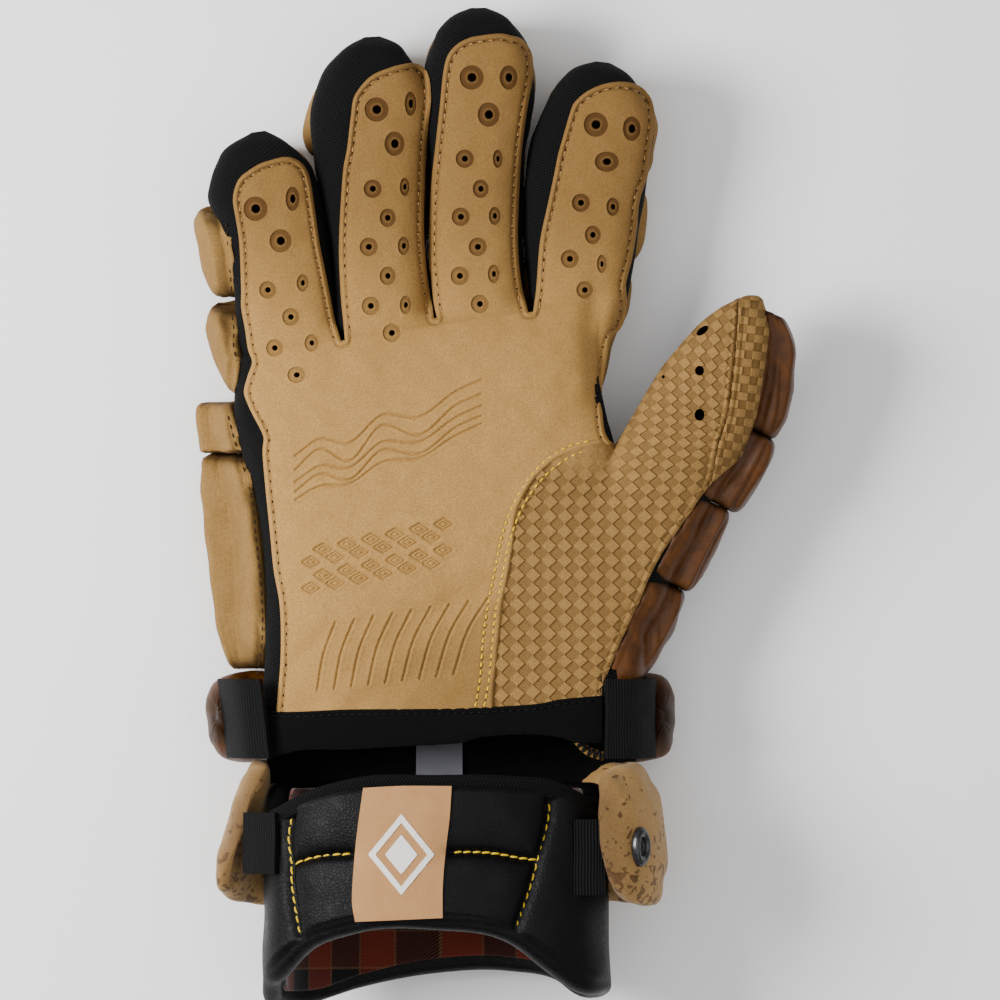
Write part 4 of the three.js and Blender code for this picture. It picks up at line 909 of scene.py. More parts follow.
def hand_rings(low, high, rows=70, sides=120):
    """Rings of the hand between two shares of its length."""
    up = np.linspace(low, high, rows)
    stops = column(HAND_ROWS, 0)
    left, right, bottom, top, slant = (spline(stops, column(HAND_ROWS, k), up) for k in (1, 2, 3, 4, 5))
    unit = squarish(sides, HAND_POWER)
    rings = []
    for u, l, r, b, t, s in zip(up, left, right, bottom, top, slant):
        x = HAND_X + (l + r) / 2 * HAND_WIDTH + unit[:, 0] * (r - l) / 2 * HAND_WIDTH
        z = HAND_BASE + (b + t) / 2 * HAND_DEPTH + unit[:, 1] * (t - b) / 2 * HAND_DEPTH
        y = WRIST_Y + u * HAND_LENGTH + (x - HAND_X) * HAND_SLANT * s
        rings.append(np.column_stack([x, y, z]))
    return np.array(rings)


shell_piece("hand_shell", hand_rings(0, 0.97), MESH_THICK, KNIT, ["hand_back_mesh"], seed=12)
shell_piece("wrist_shell", hand_rings(-0.19, -0.002, 24), BAND_THICK, BAND, ["wrist_back"],
            keep=lambda m: m[:, 2] < PALM_SPLIT, seed=13)

# Perforations: centre, half width and half height of the pressed ring, all in the photograph's places
PERFORATIONS = [
    (256, 209, 12, 12), (293, 199, 7, 12), (281, 241, 11, 11.5), (268, 290, 8.5, 8.5), (303, 283, 6, 8.5),
    (291, 317, 8.5, 8.5), (275, 348, 8.5, 8.5), (312, 343, 7, 8.5), (297, 375, 9, 8),
    (377, 110, 12, 12), (411, 104, 6, 12), (395, 144, 10, 12), (373, 189, 9, 9), (405, 187, 5, 9),
    (388, 218, 8, 9), (369, 247, 9, 9), (404, 246, 6, 9), (388, 276, 8, 9), (371, 306, 9, 9),
    (406, 305, 6, 9), (392, 333, 9, 9),
    (472, 78, 12, 12), (509, 78, 9, 12), (489, 115, 11, 12), (465, 159, 9, 9), (498, 159, 5, 9),
    (481, 189, 8, 9), (461, 217, 9, 9), (495, 216, 6, 9), (478, 247, 9, 9), (460, 276, 9, 9),
    (494, 274, 6, 9), (480, 304, 9, 9),
    (596, 125, 12, 12), (632, 129, 9, 12), (607, 162, 12, 10), (581, 203, 9, 9), (613, 207, 6.5, 9),
    (593, 235, 8, 9), (570, 259, 9, 9), (602, 264, 5, 9), (585, 290, 8.5, 8.5),
]
RINGS = [(*at(x, y), w / PIXELS, h / PIXELS) for x, y, w, h in PERFORATIONS]
WIDE_RING = 3.6  # half height from which a ring has the larger hole


def hole_of(ring):
    """Hole in the middle of a pressed ring."""
    x, y, w, h = ring
    share = 0.37 if h > WIDE_RING else 0.33
    return (x, y, w * share, h * share, 0.0)


# Folds of the palm: lines with a height (minus for a valley) and a width
FOLDS = [
    ([(300, 712), (345, 676), (395, 640), (440, 612), (488, 585)], -1.1, 4.5),
    ([(330, 690), (380, 652), (430, 628), (486, 606)], 0.8, 5.0),
    ([(286, 690), (300, 660), (318, 640)], -0.6, 3.5),
    ([(595, 300), (592, 330), (596, 360), (600, 392)], -1.9, 4.2),
    ([(622, 330), (612, 352), (608, 380)], 0.9, 3.5),
    ([(350, 712), (400, 680), (450, 668), (490, 662)], -0.7, 4.0),
    ([(560, 440), (585, 420), (600, 400)], -0.8, 6.0),
    ([(262, 395), (300, 382), (335, 372)], -0.7, 5.5),
    ([(262, 425), (310, 400), (360, 372)], 0.5, 7.0),
    ([(455, 340), (500, 336), (545, 330)], 0.4, 8.0),
    ([(520, 372), (560, 350), (590, 322)], 0.6, 7.0),
]


def ridge(distance, width, middle=0.0):
    """1 on a line and 0 away from it, as a soft ridge; middle moves it off the line."""
    return np.exp(-(((distance - middle) / width) ** 2))


def folds(points, rows):
    """Height of soft folds along lines."""
    total = np.zeros(len(points))
    for line, height, width in rows:
        distance, _, _ = nearest(points, curve(line, 1.0), False, 0.5)
        total += height * ridge(distance, width)
    return total


def pressed(points):
    """Depth of the pressed rings and how dark they are."""
    depth, dark = np.zeros(len(points)), np.zeros(len(points))
    for x, y, w, h in RINGS:
        close = (np.abs(points[:, 0] - x) < w + 1) & (np.abs(points[:, 1] - y) < h + 1)
        p = points[close]
        r = np.hypot((p[:, 0] - x) / w, (p[:, 1] - y) / h)
        size = (w + h) / 2
        ring = 1 - step(1 - 0.16 / size, 1 + 0.1 / size, r)
        lip = ridge(r * size, 0.28, 0.47 * size)
        rim = ridge(r * size, 0.25, 1.08 * size)
        depth[close] += -0.42 * ring + 0.26 * lip + 0.12 * rim
        dark[close] = np.maximum(dark[close], 0.42 * ring - 0.22 * lip)
    return depth, np.clip(dark, 0, 1)


def palm_relief_lines():
    """Plain relief of the palm: rising contour lines, rows of lozenges and a fan of short strokes."""
    lines = []
    for lift, bend in ((0, 0), (8, 4), (18, 2), (30, 7), (44, 3)):
        lines.append(curve([(296, 500 - lift), (322, 486 - lift - bend), (350, 484 - lift + bend),
                            (384, 462 - lift - bend), (420, 458 - lift + bend), (456, 436 - lift),
                            (482, 424 - lift)], 0.7))
    corners = np.array([(0, -1), (1, 0), (0, 1), (-1, 0), (0, -1)])
    for across in range(6):
        for up in range(4):
            middle = at(312 + 24 * across + 12 * (up % 2), 588 - 13 * up - 5 * across)
            for size in (2.3, 1.1):
                lines.append(even(corners * (size * 1.35, size * 0.8) + middle, 0.6))
    for k in range(9):
        x = 318 + 17 * k
        lines.append(curve([(x, 690 - 2 * k), (x + 6 + k, 655 - 3 * k), (x + 18 + 2 * k, 622 - 3 * k)], 0.7))
    return lines


RELIEF = palm_relief_lines()
RELIEF_ALL = np.vstack([even(line, 0.25) for line in RELIEF])
RELIEF_WIDTH = 0.36


def relief(points):
    """Depth of the pressed lines, each with a raised lip."""
    tree = tree_of(RELIEF_ALL)
    distance = np.array([tree.find((x, y, 0))[2] for x, y in points])
    return -0.6 * ridge(distance, RELIEF_WIDTH) + 0.22 * ridge(distance, RELIEF_WIDTH, 0.85)


EDGE_BAND = 2.0  # from the edge of the leather to its row of stitches
PALM_LIFT, THUMB_LIFT, STRIP_LIFT = 1.15, 0.3, 0.55  # of the leather over the hand
PALM_THICK, THUMB_THICK = 1.3, 1.2
PALM_PITCH, CHECK_PITCH = 0.55, 0.45


def edge_relief(points, outline):
    """Rolled edge and the groove that the stitches pull."""
    distance, _, _ = nearest(points, outline, False, 0.3)
    roll = 0.45 * ridge(distance, 0.6, 0.95)
    groove = -0.5 * ridge(distance, 0.45, EDGE_BAND)
    drop = -0.55 * (1 - step(0, 0.6, distance))
    return roll + groove + drop


YELLOW_ROWS = [
    [(475, 708), (480, 680), (483, 640), (487, 610), (492, 585), (497, 560), (502, 535), (510, 512),
     (521, 490), (534, 472), (550, 457), (570, 446), (590, 441)],
    [(484, 708), (489, 680), (492, 650), (495, 615), (500, 590), (505, 563), (510, 540), (518, 517),
     (528, 497), (541, 480), (556, 466), (574, 455), (600, 447)],
]
yellow_lines = [curve(row, 0.8) for row in YELLOW_ROWS]


def flat_noise(points, scale, seed):
    """The same smooth waves over plan points."""
    return soft_noise(np.column_stack([points, np.zeros(len(points))]), scale, seed)


def palm_surface(points, detail=True):
    """Height of the palm's leather, with its folds; detail adds all that is pressed and sewn."""
    height = base_of(points) + PALM_LIFT + folds(points, FOLDS)
    if detail:
        height = height + edge_relief(points, palm_line) + pressed(points)[0] + relief(points)
        height = height + 0.16 * flat_noise(points, 9, 4)
        seam, _, _ = nearest(points, seam_edge, False, 0.4)
        height = height + 0.3 * ridge(seam, 0.9, 1.2) - 0.5 * (1 - step(0, 0.5, seam))
        for line in yellow_lines:
            distance, _, _ = nearest(points, line, False, 0.4)
            height = height - 0.32 * ridge(distance, 0.4)
    return height


def palm_tone_and_shade(points):
    """How dark the palm's leather is: rings and the groove of the edge, with painted shade on the fingers and
    the lower palm.
    """
    distance, _, _ = nearest(points, palm_line, False, 0.3)
    groove = 0.28 * ridge(distance, 0.5, EDGE_BAND)
    # painted shade: the leather darkens up the fingers towards their tips
    fingers = 0.5 * step(35, 105, points[:, 1])
    # painted shade: the lower palm darkens towards the wrist, most on its right half
    lower = 0.42 * step(15, 65, -points[:, 1]) * step(-70, -10, points[:, 0])
    return np.clip(pressed(points)[1] + groove + fingers + lower, 0, 1)


ring_marks = []
for x, y, w, h in RINGS:
    for grow in (-0.16, 0.1):
        mark = ellipse(x, y, w + grow, h + grow)
        ring_marks.append(np.vstack([mark, mark[:1]]))
relief_marks = []
for line in RELIEF:
    relief_marks += [offset(line, -RELIEF_WIDTH), line, offset(line, RELIEF_WIDTH)]
sheet_panel("palm_leather_skin", palm_outline, palm_surface, PALM_THICK, PALM_PITCH, SUEDE,
            ["palm_leather"], holes=[hole_of(ring) for ring in RINGS],
            lines=ring_marks + relief_marks, tone=palm_tone_and_shade)

# Thumb leather with its raised checks
CHECK_X, CHECK_Y = 15.8 / 3, 14.6 / 3


def check_place(u, v):
    """Plan place of a point of the checked pattern, which leans near the wrist and tightens up the thumb."""
    y0 = v * CHECK_Y
    x0 = u * CHECK_X
    centre = at(533.1, 604.2)
    tight = 1 - 0.17 * step(40, 95, y0)
    lean = 0.12 * (1 - step(-34, -8, y0)) - 0.1 * step(30, 80, y0)
    x = x0 * tight + 0.12 * y0 * step(20, 80, y0)
    y = y0 * (1 - 0.08 * step(30, 95, y0)) + lean * x0
    return np.stack([centre[0] + x, centre[1] + y], axis=-1)


def check_lattice(place, span_u, span_v, bevel=0.045):
    """Points of a checked pattern: denser along the bevels between raised and sunk checks."""
    inner = np.linspace(bevel, 1 - bevel, 8)
    stops = (np.arange(-70, 70)[:, None] + 0.5 + inner[None, :]).ravel()
    a, b = np.meshgrid(stops, stops)
    u, v = (a + b) / 2, (a - b) / 2
    good = (u > span_u[0]) & (u < span_u[1]) & (v > span_v[0]) & (v < span_v[1])
    return place(u[good], v[good])


def checks(u, v, bevel=0.05):
    """1 on raised checks, 0 on sunk ones."""
    wave = lambda value: np.abs(value - np.round(value)) * 2
    edge = 1 - (wave(u) + wave(v))
    return step(-bevel, bevel, edge)


def pattern_of(points, place):
    """Pattern coordinates of plan points, found back by steps from where place puts them."""
    u, v, small = np.zeros(len(points)), np.zeros(len(points)), 0.01
    for _ in range(14):
        here = place(u, v)
        du, dv = (place(u + small, v) - here) / small, (place(u, v + small) - here) / small
        gap = points - here
        det = du[:, 0] * dv[:, 1] - dv[:, 0] * du[:, 1]
        u = u + (gap[:, 0] * dv[:, 1] - gap[:, 1] * dv[:, 0]) / det
        v = v + (gap[:, 1] * du[:, 0] - gap[:, 0] * du[:, 1]) / det
    return u, v


CHECK_DEPTH, CHECK_DARK = 0.5, 0.42
THUMB_HOLES = [(699, 371, 4.5, 5, 0), (699, 415, 5, 6, 0), (702, 331, 3.4, 7, -0.9), (663, 377, 1.6, 1.6, 0)]
THUMB_FOLDS = [([(600, 462), (640, 470), (680, 462)], 1.2, 8), ([(560, 470), (590, 458), (612, 452)], 0.7, 4)]


def thumb_amount(points):
    """Checks fade towards the crotch of the thumb."""
    crotch = at(585, 452)
    fade = np.hypot(points[:, 0] - crotch[0], (points[:, 1] - crotch[1]) * 1.6)
    return 0.25 + 0.75 * step(6, 18, fade)


def check_relief(points, place):
    """Height of the raised and sunk checks."""
    return (checks(*pattern_of(points, place)) - 0.5) * CHECK_DEPTH


def check_tone(points, place):
    """How dark the sunk checks are."""
    return (1 - checks(*pattern_of(points, place), 0.12)) * CHECK_DARK


def thumb_surface(points, detail=True):
    """Height of the thumb's leather, with its folds; detail adds checks, edge and seam."""
    height = base_of(points) + THUMB_LIFT + folds(points, THUMB_FOLDS)
    if detail:
        height = height + check_relief(points, check_place) * thumb_amount(points)
        height = height + edge_relief(points, np.vstack(thumb_edges)) * 0.5
        seam, _, _ = nearest(points, thumb_edges[1], False, 0.4)
        height = height - 0.5 * ridge(seam, 0.7)
    return height


thumb_holes = [(*at(x, y), w / PIXELS, h / PIXELS, turn) for x, y, w, h, turn in THUMB_HOLES]
sheet_panel("thumb_leather_skin", thumb_outline, thumb_surface, THUMB_THICK, CHECK_PITCH, THUMB_SUEDE,
            ["thumb_leather"], holes=thumb_holes,
            extra=check_lattice(check_place, (-8, 22), (-9, 24)),
            tone=lambda p: check_tone(p, check_place) * thumb_amount(p))

# Strip along the outer side of the thumb
STRIP_TURN, STRIP_CHECK = 38, 3.95


def strip_place(u, v):
    """Plan place of a point of the strip's checks."""
    centre = at(745, 380)
    a = math.radians(STRIP_TURN)
    x0, y0 = u * STRIP_CHECK, v * STRIP_CHECK
    return np.stack([centre[0] + x0 * math.cos(a) - y0 * math.sin(a),
                     centre[1] + x0 * math.sin(a) + y0 * math.cos(a)], axis=-1)


def strip_surface(points, detail=True):
    height = base_of(points) + STRIP_LIFT
    if detail:
        height = height + check_relief(points, strip_place)
        height = height + edge_relief(points, np.vstack(strip_edges)) * 0.6
    return height


sheet_panel("thumb_strip_skin", strip_outline, strip_surface, THUMB_THICK, CHECK_PITCH, THUMB_SUEDE,
            ["thumb_side_strip"], extra=check_lattice(strip_place, (-14, 14), (-14, 14)),
            tone=lambda p: check_tone(p, strip_place))


# Padded rolls
def lapped(line, rise, reach, outside, flange=0.8):
    """Height and share of padding that laps up over the side of the glove as far as a line. outside is
    the side of the line where the padding lies."""
    def lap(points):
        distance, side, _ = nearest(points, line, False, 0.4)
        away = distance * side * outside
        proud = flange + rise * (1 - np.exp(-np.maximum(away - 2.2, 0) / reach))
        return base_of(points) + proud, step(-2.0, 0.0, away)
    return lap


def lifted(top, lap, plan):
    """Top of padding over plan points, lifted where it laps, and how far it laps."""
    if lap is None:
        return top, np.zeros(len(top))
    height, share = lap(plan)
    return top + (np.maximum(height, top) - top) * share, share


def end_size(t, blunt=4.0, power=0.4, least=0.12):
    """Size of a roll's section at a share of its length, smaller at both ends."""
    edge = min(t, 1 - t) * 2
    return max((1 - (1 - edge) ** blunt) ** power if edge > 0 else 0.0, least)


def filled(height, share):
    """Section height from 0 to 1, fuller where the padding laps."""
    height = np.clip(height, 0, 1)
    return 1 - (1 - height) ** (1 + 3 * share)


FLOOR_GAP, LEAST_HEIGHT = 0.15, 0.1  # under the rolls, before and after their wrinkles


def roll_rings(digit, start, end, left, right, lap=None, slant=(0.0, 0.0), sides=56, rows=40):
    """Closed padded roll across a digit. It stands out past the stall by left, at its start and its end,
    and by right; a lap carries its top up over the side, and slant moves the lap along the digit."""
    unit = squarish(sides, 2.6)
    rings = []
    for t in np.linspace(0, 1, rows):
        along = start + (end - start) * t
        size = end_size(t, 3.2, 0.42)
        stall_left, stall_right, deep = digit.edges(along)
        under = digit.height(along) - deep
        far_left = stall_left - (left[0] + (left[1] - left[0]) * t)
        far_right = stall_right + right
        middle, half = (far_left + far_right) / 2, (far_right - far_left) / 2
        side = middle + unit[:, 0] * half * (1 - 0.3 * (1 - size))
        moved = slant[0] + (slant[1] - slant[0]) * t
        shift = moved * step(0, 1, (side - far_left) / max(stall_left * 0.5 - far_left, 1)) * (unit[:, 1] > 0)
        plan = digit.root + np.outer(along * digit.length + shift, digit.way) + np.outer(side, digit.across)
        middle_z = (FLOOR_GAP + under + PAD_WRAP) / 2
        top, share = lifted(np.full(sides, under + PAD_WRAP), lap, plan)
        upper = filled(unit[:, 1], share) * (top - middle_z)
        lower = np.minimum(unit[:, 1], 0) * (middle_z - FLOOR_GAP)
        z = middle_z + (upper + lower) * size
        rings.append(np.column_stack([plan, np.maximum(z, FLOOR_GAP)]))
    return np.array(rings)


VOXEL = 5.0
CLOTH_FRAMES = 20
CLOTH_SCALE = 20  # the pressure hardly moves cushions at their real size
PRESSURE = 4.0
CLOTH_MASS = 0.3
CLOTH_STIFFNESS = 15.0
MOST_MOVED = 1.3
PADS = []


def vertices_of(mesh):
    """Vertices of a mesh in millimetres."""
    spots = np.empty(len(mesh.vertices) * 3, np.float32)
    mesh.vertices.foreach_get("co", spots)
    return spots.reshape(-1, 3).astype(float) / MM


def link_mesh(name, points, faces):
    """A plain object from points in metres."""
    mesh = bpy.data.meshes.new(name)
    mesh.from_pydata(points.tolist(), [], faces)
    piece = bpy.data.objects.new(name, mesh)
    bpy.context.scene.collection.objects.link(piece)
    return piece


def take_modified(piece):
    """The points in millimetres and the faces of a piece with its modifiers; the piece itself goes."""
    mesh, plain = piece.data, bpy.data.meshes.new_from_object(
        piece.evaluated_get(bpy.context.evaluated_depsgraph_get()))
    points, faces = vertices_of(plain), [list(polygon.vertices) for polygon in plain.polygons]
    bpy.data.objects.remove(piece)
    bpy.data.meshes.remove(mesh)
    bpy.data.meshes.remove(plain)
    return points, faces


def coarse_copy(points, quads):
    """Closed copy of a pad with even faces."""
    copy = link_mesh("coarse", points * MM, quads)
    remesh = copy.modifiers.new("remesh", "REMESH")
    remesh.mode, remesh.voxel_size = "VOXEL", VOXEL * MM
    return take_modified(copy)


def inflated(rest, faces, held):
    """Points after a cloth simulation that fills closed cushions; held says how firmly each is sewn."""
    cushions = link_mesh("cushions", rest * MM * CLOTH_SCALE, faces)
    group = cushions.vertex_groups.new(name="sewn")
    for i, share in enumerate(held):
        if share > 0.02:
            group.add([i], float(min(share, 1.0)), "REPLACE")
    cloth = cushions.modifiers.new("cloth", "CLOTH")
    rules = cloth.settings
    rules.quality, rules.mass = 5, CLOTH_MASS
    rules.tension_stiffness = rules.compression_stiffness = CLOTH_STIFFNESS
    rules.shear_stiffness, rules.bending_stiffness = CLOTH_STIFFNESS / 3, 0.1
    rules.use_pressure, rules.uniform_pressure_force = True, PRESSURE
    rules.effector_weights.gravity = 0
    rules.vertex_group_mass = "sewn"
    cloth.collision_settings.use_collision = False
    scene = bpy.context.scene
    cloth.point_cache.frame_start, cloth.point_cache.frame_end = 1, CLOTH_FRAMES
    scene.frame_start, scene.frame_end = 1, CLOTH_FRAMES
    for frame_number in range(1, CLOTH_FRAMES + 1):
        scene.frame_set(frame_number)
    points, _ = take_modified(cushions)
    scene.frame_set(1)
    return points / CLOTH_SCALE


def carried(points, spots, moved):
    """Movement of the spots, taken over by points near them."""
    tree = tree_of(spots)
    near = [tree.find_n(p, 6) for p in points]
    index = np.array([[hit[1] for hit in hits] for hits in near])
    weight = 1 / (np.array([[hit[2] for hit in hits] for hits in near]) ** 2 + 1.0)
    return (moved[index] * weight[:, :, None]).sum(axis=1) / weight.sum(axis=1)[:, None]


def blown_up(bodies):
    """Movement of the padding in millimetres: coarse closed copies of all pads are filled like cushions by
    one cloth simulation, held along their sewn ends, and the fine pads take over the movement."""
    corners, faces, held, start = [], [], [], 0
    for points, quads, ends in bodies:
        spots, own_faces = coarse_copy(points, quads)
        tree = tree_of(points)
        held += [ends[tree.find(p)[1]] for p in spots]
        faces += [[start + v for v in face] for face in own_faces]
        corners.append(spots)
        start += len(spots)
    rest = np.vstack(corners)
    moved = inflated(rest, faces, held) - rest
    size = np.linalg.norm(moved, axis=1, keepdims=True)
    moved *= np.minimum(1, MOST_MOVED / np.maximum(size, 1e-9))
    parts = np.split(moved, np.cumsum([len(spots) for spots in corners])[:-1])
    return [carried(points, spots, own) for (points, _, _), spots, own in zip(bodies, corners, parts)]


def fill_pads():
    """Blows the pads up."""
    bodies = [(vertices_of(piece.data), [list(polygon.vertices) for polygon in piece.data.polygons], ends)
              for piece, ends in PADS]
    for (piece, _), (points, _, _), moved in zip(PADS, bodies, blown_up(bodies)):
        points = points + moved
        points[:, 2] = np.maximum(points[:, 2], LEAST_HEIGHT)
        piece.data.vertices.foreach_set("co", (points * MM).astype(np.float32).ravel())
        piece.data.update()


def pad(name, rings, look, node, seed, waves=0.35, splash=None, pull=0.28):
    """Padded piece from rings, with soft wrinkles that gather towards its ends, and painted shade darkening
    both ends.
    """
    points, faces, uv = tube(rings)
    rows, sides = rings.shape[:2]
    normals = np.vstack([unit_normals(rings).reshape(-1, 3), np.zeros((2, 3))])
    t = np.r_[np.repeat(np.linspace(0, 1, rows), sides), 0, 1]
    from_end = np.minimum(t, 1 - t)
    gather = ridge(from_end, 0.12)
    a = np.r_[np.tile(np.arange(sides) / sides * 2 * np.pi, rows), 0, 0]
    rng = np.random.default_rng(seed)
    pucker = sum(np.sin(a * k + rng.uniform(0, 6.28)) for k in (9, 13, 17)) / 3
    wrinkle = soft_noise(points, 11, seed) * waves + gather * pucker * pull
    floor = step(0.2, 2.5, points[:, 2])
    points = points + normals * (wrinkle * floor)[:, None]
    points[:, 2] = np.maximum(points[:, 2], LEAST_HEIGHT)
    shade = np.zeros(len(points)) if splash is None else splash(points)
    # tone: painted shade, darker at both ends of the pad
    piece = make(name, points, faces, look, [node], uv=uv, tone=0.75 * ridge(from_end, 0.035),
                 splash=shade)
    PADS.append((piece, ridge(from_end, 0.05)))


# Digit, row, start and end along the digit, and how far the roll stands out on the left and right
FINGER_ROLLS = [
    ("little", "distal", .72, .95, -.06, .02), ("little", "middle", .285, .705, .52, .02),
    ("little", "proximal", -.215, .27, .44, .02), ("ring", "distal", .62, .965, .2, .02),
    ("ring", "middle", .32, .607, .05, .05), ("ring", "proximal", -.15, .308, .1, .1),
    ("middle", "distal", .64, .97, .02, .02), ("middle", "middle", .34, .628, .05, .05),
    ("middle", "proximal", -.135, .328, .05, .05), ("index", "distal", .6, .965, .02, .07),
    ("index", "middle", .32, .587, .05, .12), ("index", "proximal", -.16, .307, .15, .1),
]
FLAP_UPPER = curve([(229, 196), (230, 212), (232, 240), (235, 285), (236, 300)])
FLAP_LOWER = curve([(233, 296), (235, 310), (238, 330), (237, 345), (241, 362), (240, 385), (239, 402)])
LAPS = {
    ("little", "middle"): dict(lap=lapped(FLAP_UPPER, 2.4, 2.5, -1), slant=(-1.0, -6.0)),
    ("little", "proximal"): dict(lap=lapped(FLAP_LOWER, 2.4, 2.5, -1), slant=(-1.5, -7.0)),
}
ROLL_GAP = 0.004  # at each end of a roll, as a share of its digit
SIDE_STRETCH = {("little", "proximal"): (0.28, 0.68), ("ring", "distal"): (0.26, -0.12)}
for place, (finger, row, start, end, left, right) in enumerate(FINGER_ROLLS):
    digit = DIGIT[finger]
    half = digit.width / 2
    near, far = SIDE_STRETCH.get((finger, row), (left, left))
    more = LAPS.get((finger, row), {})
    rings = roll_rings(digit, start + ROLL_GAP, end - ROLL_GAP, (near * half, far * half), right * half,
                       sides=112 if more else 56, **more)
    pad(f"{finger}_{row}_padding", rings, PAD_SUEDE, f"{finger}_{row}_roll", 20 + place)

# Edges of the back padding as shares of the width, at the wrist and at the knuckles
BACK_EDGES = [(-.545, -.628), (-.29, -.358), (-.04, -.1), (.21, .158), (.455, .405)]
KNUCKLE_ROW_UP = 0.775
BACK_ROWS = [("back", .1, .6415), ("knuckle", .6445, KNUCKLE_ROW_UP)]
BACK_GAP, BACK_RISE, OUTER_MORE = 0.4, 6.0, 1.6
OUTER_BLUNT = {"back": (4.0, 26.0), "knuckle": (26.0, 6.0)}
FLAP_HAND = curve([(226, 392), (230, 405), (235, 425), (240, 443), (250, 473), (257, 500), (260, 530),
                   (263, 560), (266, 590), (267, 635), (263, 670), (259, 703)])
hand_lap = lapped(FLAP_HAND, 2.6, 3.0, -1)


def back_edge(place, up):
    """X of an edge of the back padding at a share of the hand's length."""
    wrist, knuckles = BACK_EDGES[place]
    return HAND_X + (wrist + (knuckles - wrist) * up / KNUCKLE_ROW_UP) * HAND_WIDTH


def back_rings(place, start, end, lap=None, sides=56, rows=60, blunt=(4.0, 4.0)):
    """Closed pad on the back of the hand, between two of the edges."""
    unit = squarish(sides, 3.0)
    low_top = HAND_BASE + BACK_RISE
    middle_z = low_top / 2
    rings = []
    for t in np.linspace(0, 1, rows):
        up = start + (end - start) * t
        size = end_size(t, blunt[int(t > 0.5)])
        left, right = back_edge(place, up) + BACK_GAP, back_edge(place + 1, up) - BACK_GAP
        if lap is not None:
            left -= OUTER_MORE
        x = (left + right) / 2 + unit[:, 0] * (right - left) / 2 * (1 - 0.25 * (1 - size))
        plan = np.column_stack([x, np.full(sides, WRIST_Y + up * HAND_LENGTH)])
        top, share = lifted(np.full(sides, low_top), lap, plan)
        upper = filled(unit[:, 1], share) * (top - middle_z)
        z = middle_z + (upper + np.minimum(unit[:, 1], 0) * middle_z) * size
        rings.append(np.column_stack([plan, np.maximum(z, FLOOR_GAP)]))
    return np.array(rings)


for row_index, (row, start, end) in enumerate(BACK_ROWS):
    for place, finger in enumerate(FINGERS):
        more = dict(lap=hand_lap, sides=128, blunt=OUTER_BLUNT[row]) if place == 0 else {}
        pad(f"{finger}_{row}_padding", back_rings(place, start, end, **more), PAD_SUEDE,
            f"{finger}_{row}_pad", 40 + place + 5 * row_index)

# Name, start and end along the thumb, and how far the roll stands out
THUMB_ROLLS = [("thumb_cap", .662, .985, .5), ("thumb_roll_upper", .424, .658, .53),
               ("thumb_roll_middle", .158, .42, .42), ("thumb_roll_lower", -.185, .154, .36)]
thumb_lap = lapped(np.vstack([strip_edges[1], thumb_edges[2]]), 1.7, 3.0, 1, flange=0.1)


def thumb_rings(start, end, out, sides=112, rows=44):
    """Closed roll on the back of the thumb, lapping up to the edge of the leather."""
    digit = DIGIT["thumb"]
    unit = squarish(sides, 2.8)
    rings = []
    for t in np.linspace(0, 1, rows):
        along = start + (end - start) * t
        size = end_size(t, least=0.15)
        under = float(digit.height(along)) - digit.depth / 2
        _, stall_right, _ = digit.edges(along)
        left, right = -0.3 * digit.width / 2, stall_right + out * digit.width / 2
        side = (left + right) / 2 + unit[:, 0] * (right - left) / 2 * (1 - 0.2 * (1 - size))
        plan = digit.point(along, side[:, None])
        bottom, low_top = under - 9, under + 17
        top, share = lifted(np.full(sides, low_top), thumb_lap, plan)
        middle_z = (bottom + low_top) / 2
        kept = size + (1 - size) * share * 0.85
        z = middle_z + (filled(unit[:, 1], share) * (top - middle_z) * kept
                        + np.minimum(unit[:, 1], 0) * (middle_z - bottom) * size)
        rings.append(np.column_stack([plan, z]))
    return np.array(rings)


for place, (name, start, end, out) in enumerate(THUMB_ROLLS):
    pad(f"{name}_padding", thumb_rings(start, end, out), BROWN, name, 60 + place, 0.3)


def bent_rings(path, sides=56, rows=120):
    """Roll bent round the hand or cuff: path rows of x, z, middle y, half length, half thickness and
    lean of x along that length."""
    path = np.asarray(path, float)
    reach = np.r_[0, np.cumsum(np.hypot(np.diff(path[:, 0]), np.diff(path[:, 1])))]
    t = np.linspace(0, reach[-1], rows)
    x, z, y, long, thick, lean = (spline(reach, path[:, k], t) for k in range(6))
    dx, dz = np.gradient(x, t), np.gradient(z, t)
    size = np.hypot(dx, dz)
    normal = np.stack([-dz / size, dx / size], axis=1)
    unit = squarish(sides, 2.6)
    rings = []
    for i in range(rows):
        end = min(i, rows - 1 - i) / (rows * 0.07)
        close = (1 - (1 - min(end, 1)) ** 2.4) ** 0.5 if end < 1 else 1.0
        close = max(close, 0.08)
        out = unit[:, 1] * thick[i] * close
        length = unit[:, 0] * long[i] * (0.35 + 0.65 * close)
        rings.append(np.column_stack([x[i] + normal[i, 0] * out + lean[i] * length, y[i] + length,
                                      z[i] + normal[i, 1] * out]))
    return np.array(rings)


# Side, rise and size along the wrist roll
WRIST_ROLL = [(-.575, .66, .5), (-.562, .45, .82), (-.515, .15, 1), (-.4, 0, 1), (-.02, 0, 1), (.4, 0, 1),
              (.49, .15, 1), (.537, .45, .82), (.55, .66, .5)]
path = [(HAND_X + side * HAND_WIDTH, WRIST_ROLL_THICK / 2 - CLEARANCE + rise * HAND_DEPTH,
         WRIST_Y - WRIST_ROLL_DOWN * HAND_LENGTH, WRIST_ROLL_LONG / 2 * size,
         (WRIST_ROLL_THICK - CLEARANCE) / 2 * size, 0) for side, rise, size in WRIST_ROLL]
pad("wrist_roll_padding", bent_rings(path), BROWN, "wrist_roll", 70, 0.45, pull=0.1)


